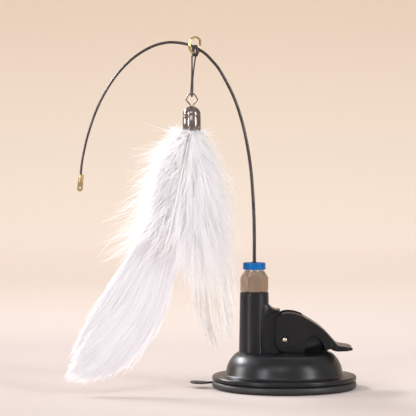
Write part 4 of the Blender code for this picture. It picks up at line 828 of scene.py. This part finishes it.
def ribbonArrays(line, half, shadeShares):
    # two rows of vertices beside each line, quads between them, and the strand's own map: along it, and its share
    # of painted shade
    n, rows = line.shape[:2]
    verts = np.stack([line - half, line + half], 2).reshape(-1, 3)
    k = (np.arange(n)[:, None] * rows + np.arange(rows - 1)[None, :]).reshape(-1) * 2
    faces = np.stack([k, k + 1, k + 3, k + 2], -1)
    uv = np.stack([np.tile(np.repeat(np.linspace(0, 1, rows), 2), n), np.repeat(shadeShares, rows * 2)], -1)
    return verts, faces, uv


def ribbonSides(line, face, width, roll, rng, taper):
    # half the ribbon's width, square to the strand and to its face, rolled a little, falling to the tip by a power
    n, rows = line.shape[:2]
    along = unit(np.gradient(line, axis=1))
    side = unit(np.cross(along, face))
    other = np.cross(along, side)
    tilt = rng.normal(0, roll, (n, 1, 1))
    t = np.linspace(0, 1, rows)
    half = (width / 2)[:, None] * np.maximum((1 - t) ** taper, 0.10)[None, :]
    return along, (side * np.cos(tilt) + other * np.sin(tilt)) * half[..., None]


def fuzz(line, along, shadeShares, rng, each, length, width):
    # side hairs on every strand: a narrow quad that leaves it at a slant, shorter towards the strand's end
    n, rows = line.shape[:2]
    pick = rng.uniform(0.02, 0.97, (n, each)) * (rows - 1)
    low = np.minimum(pick.astype(int), rows - 2)
    part = (pick - low)[..., None]
    who = np.arange(n)[:, None]
    spot = line[who, low] * (1 - part) + line[who, low + 1] * part
    go = along[who, low]
    way = unit(go * 0.9 + unit(np.cross(go, rng.normal(size=go.shape))))
    reach = (length * (1 - 0.6 * pick / (rows - 1)) * rng.uniform(0.5, 1.2, pick.shape))[..., None]
    wide = unit(np.cross(way, rng.normal(size=way.shape))) * width / 2
    tip = spot + way * reach
    verts = np.stack([spot - wide, spot + wide, tip + wide * 0.25, tip - wide * 0.25], 2).reshape(-1, 3)
    faces = np.arange(len(verts)).reshape(-1, 4)
    uv = np.stack([np.tile([0.3, 0.3, 1.0, 1.0], n * each), np.repeat(shadeShares, each * 4)], -1)
    return verts, faces, uv


def clearOf(line):
    # True for strands, in mm, that keep off the rod, post, fitting, dome, pad, cap and floor
    x, y, z = (line[..., k] for k in range(3))
    toPost, toMiddle = np.hypot(x - postX, y), np.hypot(x, y)
    hit = (toPost < 8.6) & (z < 64) | (toMiddle < 30.5) & (z < 19.5) | (toMiddle < 37.2) & (z < 8.5) | (z < 0.6)
    hit |= (np.abs(y) < 9) & (x > -16) & (z < 44)
    rodX = np.interp(z, rodLine[:97, 2], rodLine[:97, 0])
    hit |= (np.hypot(x - rodX, y) < 1.5) & (z > 60) & (z < 171)
    hit |= (np.hypot(x - bell["axis"], y) < 4.9) & (z > 128.3)
    # the wand turned by -45 degrees brings them over the flange's back
    toMiddle = np.hypot(postX + (x - postX + y) * 0.7071, (y - x + postX) * 0.7071)
    hit |= (toMiddle < 37.0) & (z < 8.5) | (toMiddle < 31.0) & (z < 20)
    return ~hit.any(1)


def openOf(line, rng):
    # True for strands that leave the front quill open to the front, and for a few that cross it
    x, y, z = (line[..., k] for k in range(3))
    quillX = np.interp(z, parting[::-1, 2], parting[::-1, 0])
    quillY = np.interp(z, parting[::-1, 2], parting[::-1, 1])
    over = (np.abs(x - quillX) < 0.6) & (y < quillY + 0.1) & (z > 67) & (z < 127)
    return ~over.any(1) | (rng.uniform(0, 1, len(line)) < 0.03)


def joinArrays(parts):
    sizes = np.cumsum([0] + [len(v) for v, f, u in parts])
    return (np.vstack([p[0] for p in parts]), np.vstack([p[1] + s for p, s in zip(parts, sizes)]),
            np.vstack([p[2] for p in parts]))


def makePlume(name, p, seed):
    # Strands in small locks. A lock ends near the bell at a bearing and a depth; its strands start on an inner
    # quill higher up, and run as a quadratic curve between the two, with a slow wobble that grows to the tips
    rng = np.random.default_rng(seed)
    n, size, rows = p["count"], 8, 12
    lock = np.arange(n) // size
    locks = lock[-1] + 1
    first, last = np.radians(p["bearings"])
    bearing = rng.uniform(first, last, locks)
    down = rng.uniform(0.0, 1.0, locks) ** 0.9
    kind = rng.uniform(0, 1, locks)
    wisp = kind < 0.32
    out = np.where(wisp, 0.98 + p["wisp"] * rng.uniform(0, 1, locks) ** 1.6,
                   np.where(kind < 0.75, rng.uniform(0.70, 0.97, locks), rng.uniform(0.35, 0.75, locks)))
    radius = bellRadius(bearing, down) * out
    endZ = bell["top"] - bell["drop"] * down * p["reach"] + rng.normal(0, 1.5, locks) + 3.0 * (down < 0.08)
    slope = np.radians(p["slope"][0] + (p["slope"][1] - p["slope"][0]) * down ** 0.7 + rng.normal(0, 6, locks))
    startZ = np.minimum(endZ + radius * 0.62 * np.tan(slope), 127.9 - 1.2 * rng.uniform(0, 1, locks) ** 2)
    startDown = np.clip((bell["top"] - startZ) / bell["drop"] / p["reach"], 0, 1)
    turn = bearing + rng.normal(0, 0.30, locks)
    startRadius = bellRadius(turn, startDown) * p["quillOut"] * rng.uniform(0.5, 1.05, locks)
    startRadius = np.minimum(startRadius, 2.5 + 0.9 * (bell["top"] + 1 - startZ))
    start = np.stack([bell["axis"] + startRadius * np.cos(turn), startRadius * np.sin(turn), startZ], -1)
    end = np.stack([bell["axis"] + radius * np.cos(bearing), radius * np.sin(bearing), endZ], -1)
    slope = np.where(wisp, slope * 0.75, slope)
    loose = np.where(wisp, 1.6, 2.2)[lock][:, None]
    start = start[lock] + rng.normal(0, 1.0, (n, 3)) * [0.8, 0.8, 1.8]
    start[:, 2] = np.minimum(start[:, 2], 128.2)
    end = end[lock] + rng.normal(0, 1.0, (n, 3)) * loose
    reach = np.linalg.norm(end - start, axis=1, keepdims=True)
    middle = (start + end) / 2 + np.array([0, 0, 1.0]) * reach * (p["bulge"] + rng.normal(0, 0.05, (n, 1)))
    t = np.linspace(0, 1, rows)[None, :, None]
    line = (1 - t) ** 2 * start[:, None] + 2 * t * (1 - t) * middle[:, None] + t ** 2 * end[:, None]
    phase = rng.uniform(0, 2 * np.pi, (locks, 1, 3))[lock] + rng.normal(0, 0.25, (n, 1, 3))
    pace = rng.uniform(2.0, 5.0, (locks, 1, 1))[lock]
    line = line + np.sin(pace * t + phase) * t ** 1.3 * (reach[:, None] * 0.035 + 0.15)
    keep = clearOf(line) & openOf(line, rng) & (~wisp[lock] | (rng.uniform(0, 1, n) < 0.32))
    line, lock, bearing = line[keep], lock[keep], bearing[lock][keep]
    face = np.stack([np.cos(bearing), np.sin(bearing), 0.35 + 0 * bearing], -1)[:, None, :]
    width = rng.uniform(0.30, 0.52, len(line))
    along, half = ribbonSides(line, face, width, 0.45, rng, 0.75)
    # painted shade: a random share of the shaded colour for each lock and each strand
    shadeShares = np.clip(rng.uniform(0, 1, locks)[lock] * 0.5 + rng.uniform(0, 0.5, len(line)), 0, 1)
    parts = [ribbonArrays(line, half, shadeShares), fuzz(line, along, shadeShares, rng, 14, 1.8, 0.09)]
    v, f, u = joinArrays(parts)
    piece = toMesh(name, v * mm, f, u, smooth=False)
    place(piece, "tassel", "down", downStuff, p["node"])
    print(name, len(f), "faces")


for number, (name, p) in enumerate(plumes.items()):
    makePlume(name, p, 40 + number)
frontStem = smoothLine(frontQuill, 8) * mm
place(tube("plumeQuill", frontStem, np.linspace(0.42, 0.20, len(frontStem)) * mm, 10), "tassel", "feather", quill)
print("plumes ready")


def vaneFrame(p, share, offset):
    # A place on the vane: the quill at a share of its length, a sideways step, and a cup that grows with its square
    line = smoothLine(p["quill"], 12)
    run = runOf(line[:, :3])
    run /= run[-1]
    spot = np.stack([np.interp(share, run, line[:, k]) for k in range(3)], -1)
    ahead = unit(np.stack([np.interp(np.minimum(share + 0.01, 1), run, line[:, k])
                           - np.interp(np.maximum(share - 0.01, 0), run, line[:, k]) for k in range(3)], -1))
    turn = math.radians(p["turn"])
    side = unit(np.cross(ahead, (math.sin(turn), -math.cos(turn), 0.0)))
    up = np.cross(side, ahead)
    up = np.where(up[..., 1:2] > 0, -up, up)
    width = np.interp(share, run, line[:, 3])
    return spot + side * (offset * width)[..., None] - up * (0.10 * width * offset ** 2)[..., None], up


def makeLongFeather(name, p, seed):
    # Silky strands lie side by side along the quill. Each keeps its place across the vane, drifting outwards a
    # little, from a start to an end along the quill; the outer ones end sooner, so the tip is round
    rng = np.random.default_rng(seed)
    n, rows = p["strands"], 14
    lock = rng.integers(0, max(n // 9, 170), n)
    across = np.clip(rng.uniform(-1, 1, lock.max() + 1)[lock] + rng.normal(0, 0.13, n), -1.04, 1.04)
    begin = p["from"] + (0.90 - p["from"]) * rng.uniform(0, 1, n) ** 0.8
    long = rng.uniform(*p["long"], n)
    last = 1 - 0.16 * np.abs(across) ** 2.5 - 0.06 * rng.uniform(0, 1, n) ** 2
    last = last - 0.05 * rng.uniform(0, 1, lock.max() + 1)[lock]
    stop = np.minimum(begin + long, last)
    t = np.linspace(0, 1, rows)[None, :]
    share = begin[:, None] + (stop - begin)[:, None] * t
    drift = 0.72 + 0.28 * t + (rng.uniform(0, 1, (n, 1)) < 0.08) * 0.22 * t ** 2
    sway = 0.045 * np.sin(5 * t + rng.uniform(0, 6.28, lock.max() + 1)[lock][:, None]) * t
    line, up = vaneFrame(p, share, across[:, None] * drift + sway)
    layer = rng.uniform(-0.5, 0.5, (n, 1, 1)) + 0.35 * np.sin(lock * 2.1)[:, None, None] * t[..., None]
    line = line + up * layer * p["depth"]
    keep = clearOf(line)
    line, up, lock, n = line[keep], up[keep], lock[keep], keep.sum()
    along, half = ribbonSides(line, up, rng.uniform(*p["width"], n), 0.35, rng, 0.5)
    # painted shade: some locks lean to the shaded colour, as darker streaks along the vane
    shadeStreak = rng.uniform(0, 1, lock.max() + 1) ** 2.2
    shadeShares = np.clip(shadeStreak[lock] * 0.8 + rng.uniform(-0.1, 0.25, n), 0, 1)
    parts = [ribbonArrays(line, half, shadeShares), fuzz(line, along, shadeShares, rng, 9, 1.5, 0.07)]
    v, f, u = joinArrays(parts)
    place(toMesh(name, v * mm, f, u, smooth=False), "tassel", "feather", p["stuff"], p["node"])
    stem = smoothLine([row[:3] for row in p["quill"]], 8)
    stem = stem[:int(len(stem) * quillShown)]
    shares = np.linspace(0, quillShown, len(stem))
    core = tube(name + "Quill", (stem + vaneFrame(p, shares, 0 * shares)[1] * 0.6) * mm,
                np.linspace(p["radius"], p["tip"], len(stem)) * mm, 10)
    place(core, "tassel", "feather", quill)
    print(name, len(f), "faces")


for number, (name, p) in enumerate(longFeathers.items()):
    makeLongFeather(name, p, 70 + number)
print("long feathers ready")


# Floor, backdrop and light
studio = {
    # paper colours, with painted shade in them: the floor on the left, painted darker, and on the right, then the
    # sweep at these heights, painted darker upwards
    "floorLeft": (0.505, 0.422, 0.396), "floorRight": (0.650, 0.568, 0.532),
    "wallStops": [(0.0, (0.880, 0.770, 0.695)), (0.10, (0.84, 0.730, 0.640)), (0.35, (0.775, 0.665, 0.570)),
                  (1.0, (0.690, 0.562, 0.448))],
    "wallTop": 0.24,
    "world": (1.0, 0.985, 0.975), "worldStrength": 0.66,
    "lamps": [  # name, place, aimed at, width and height, spread in degrees, watts, colour
        ("keyLamp", (-0.84, -0.86, 0.40), (-0.04, 0.0, 0.08), (0.13, 0.80), 110, 2.5, (0.95, 0.97, 1.0)),
        ("sideLamp", (-0.72, 0.62, 0.60), (-0.04, 0.0, 0.03), (0.50, 0.16), 60, 1.15, (0.92, 0.955, 1.0)),
        ("fillLamp", (0.86, -0.66, 0.44), (-0.04, 0.0, 0.08), (0.12, 0.80), 110, 2.6, (0.96, 0.975, 1.0)),
        ("frontLamp", (-0.22, -1.15, 0.95), (-0.04, 0.0, 0.08), (0.70, 0.50), 90, 0.8, (0.97, 0.975, 1.0)),
        ("leftLamp", (-1.05, 0.24, 0.33), (0.0, 0.0, 0.03), (0.30, 0.24), 60, 0.45, (1.0, 0.97, 0.93)),
        ("wallLamp", (-0.04, 0.55, 1.60), (-0.04, 1.55, 0.30), (2.20, 0.30), 130, 7.3, (1.0, 0.985, 0.97)),
    ],
}


def makeStudio(s):
    # sweep: flat floor, then a quarter round, then an upright wall
    bend = np.linspace(0, math.pi / 2, 24)
    y = np.concatenate([[-2.2, -0.5, 0.0], 1.05 + 0.5 * np.sin(bend), [1.55]])
    z = np.concatenate([[0, 0, 0], 0.5 * (1 - np.cos(bend)), [3.0]])
    x = np.linspace(-3, 3, 7)
    verts = np.stack(np.broadcast_arrays(x[None, :], y[:, None], z[:, None]), -1).reshape(-1, 3)
    sweep = toMesh("sweep", verts, gridFaces(len(y), len(x)))
    f = Finish("sweepPaper")
    across, far, height = f.parts(f.objectPlace())
    # painted light and shade: the paper is darker up the wall and on the floor's left than on its right
    wall = f.ramp(f.range(height, 0.0, s["wallTop"]), *s["wallStops"])
    floor = f.mixed(f.range(across, -0.20, 0.10), s["floorLeft"], s["floorRight"])
    colour = f.mixed(f.range(far, 0.20, 0.60), floor, wall)
    f.set(Base_Color=colour, Roughness=0.9)
    sweep.data.materials.append(f.material)
    world = bpy.data.worlds.new("studioWorld")
    world.use_nodes = True
    world.node_tree.nodes["Background"].inputs[0].default_value = (*s["world"], 1.0)
    world.node_tree.nodes["Background"].inputs[1].default_value = s["worldStrength"]
    bpy.context.scene.world = world
    for name, spot, aim, size, spread, watts, colour in s["lamps"]:
        data = bpy.data.lights.new(name, "AREA")
        data.shape, data.energy, data.color = "RECTANGLE", watts, colour
        data.size, data.size_y = size
        data.spread = math.radians(spread)
        aimed(newObject(name, data), spot, aim)


makeStudio(studio)
print("studio ready")
